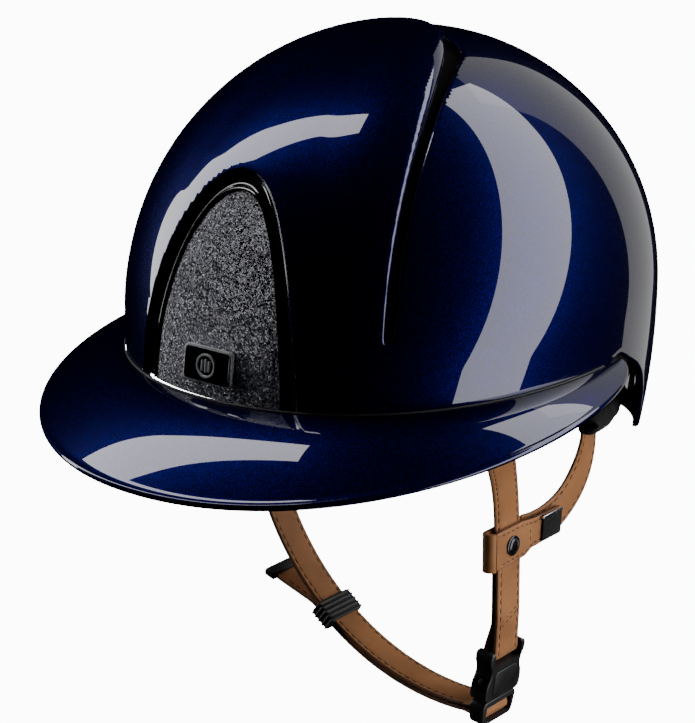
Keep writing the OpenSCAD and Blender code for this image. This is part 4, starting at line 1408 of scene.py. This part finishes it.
def build_keeper():
    u0, u1 = CHIN_R - 2 - 0.35, CHIN_R + 2.4 + 0.35
    mid, hu, hy = (u0 + u1) / 2, (u1 - u0) / 2, 9.0

    def ring(hu_, hy_, w, r):
        pts = []
        corners = ((1, 1, 0), (-1, 1, 90), (-1, -1, 180), (1, -1, 270))
        for cu, cy, a0 in ((i * (hu_ - r), j * (hy_ - r), a) for i, j, a in corners):
            for k in range(5):
                a = rad(a0 + 22.5 * k)
                pts.append(keeper_point(mid + cu + r * math.cos(a), cy + r * math.sin(a), w))
        return np.array(pts)

    outer = []
    n = 45
    for k in range(n):
        w = -5.5 + 11 * k / (n - 1)
        end = smooth(0, 0.9, 5.5 - abs(w))
        grip = max(0.0, math.cos(2 * math.pi * w / 2.4)) ** 0.6
        wall = 0.75 + 0.45 * float(end) + 0.4 * float(end) * grip
        outer.append(ring(hu + wall, hy + 0.4 + wall, w, 1.0))
    inner = [ring(hu, hy, w, 0.35) for w in np.linspace(5.5, -5.5, 9)]
    return ring_loft("keeper_sleeve", outer + inner, [M["rubber"]], closed_path=True, angle=50)


ride(build_keeper(), "keeper", "rubber", "keeper")

# ---------- finishes of the CAD nodes that stay ----------
SHOWN = {"crest_vent_trim": "vent_matte", "anchor_plates": "dark_metal", "anchor_rivets": "dark_metal"}
for node, mat in SHOWN.items():
    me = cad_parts[node].data
    me.materials.clear()
    me.materials.append(M[mat])


# ---------- floor, light and camera ----------
def build_stage():
    me = bpy.data.meshes.new("floor")
    z, far = -2.6, 14
    me.from_pydata([(-far, -far, z), (far, -far, z), (far, far, z), (-far, far, z)], [], [(0, 1, 2, 3)])
    g = Nodes("floor", (0.86, 0.86, 0.86), 0.7)
    g.color(g.mix(g.range(g.noise(2.0, 3), 0.3, 0.7, 0, 1), (0.85, 0.85, 0.85), (0.88, 0.88, 0.88)))
    g.bsdf.inputs["Emission Color"].default_value = (1, 1, 1, 1)
    g.bsdf.inputs["Emission Strength"].default_value = 12.0
    me.materials.append(g.mat)
    ob = bpy.data.objects.new("floor", me)
    scene.collection.objects.link(ob)
    ob.visible_glossy = ob.visible_diffuse = False
    world = bpy.data.worlds.new("studio")
    scene.world = world
    world.use_nodes = True
    bg = world.node_tree.nodes["Background"]
    bg.inputs["Color"].default_value = (1, 1, 1, 1)
    bg.inputs["Strength"].default_value = 12.0
    world.cycles_visibility.glossy = False
    world.cycles_visibility.diffuse = False


def toward(az, el):
    a, e = rad(az), rad(el)
    return Vector((math.sin(a) * math.cos(e), -math.cos(a) * math.cos(e), math.sin(e)))


def softbox(name, dist, az, el, roll, width, length, radiance):
    """An elongated light that faces the helmet, turned about its own line of sight by roll."""
    d = bpy.data.lights.new(name, "AREA")
    d.shape, d.size, d.size_y = "RECTANGLE", width, length
    d.energy = radiance * math.pi * width * length
    ob = bpy.data.objects.new(name, d)
    z = toward(az, el)
    up = (Vector((0, 0, 1)) - z * z.z).normalized()
    right = up.cross(z)
    x = right * math.cos(rad(roll)) + up * math.sin(rad(roll))
    y = z.cross(x)
    turn = Matrix((x, y, z)).transposed().to_4x4()
    ob.matrix_world = Matrix.Translation(Vector((0, 0, 0.03)) + z * dist) @ turn
    scene.collection.objects.link(ob)
    ob.visible_camera = False


build_stage()
softbox("strip_front", 1.6, -71.3, 35.2, 1.3, 0.36, 3.1, 8.0)
softbox("strip_side", 1.6, 120.8, 15.3, -34.0, 0.84, 5.4, 5.0)
softbox("backdrop", 1.6, -183.3, 11.4, -8.3, 0.85, 2.6, 0.8)

CAM_AZ, CAM_EL, CAM_DIST, CAM_LENS = 37.67, 17.88, 1200.0, 137.4274
CAM_SHIFT = (-0.066528, -0.054357)
cam = bpy.data.cameras.new("camera")
cam.lens = CAM_LENS
cam.sensor_width = 36
cam.shift_x, cam.shift_y = CAM_SHIFT
cam.dof.use_dof = False
cam.clip_start, cam.clip_end = 0.05, 60
camera = bpy.data.objects.new("camera", cam)
scene.collection.objects.link(camera)
back = toward(CAM_AZ, CAM_EL)
camera.location = back * CAM_DIST * MM
camera.rotation_mode = "QUATERNION"
camera.rotation_quaternion = (-back).to_track_quat("-Z", "Y")
scene.camera = camera
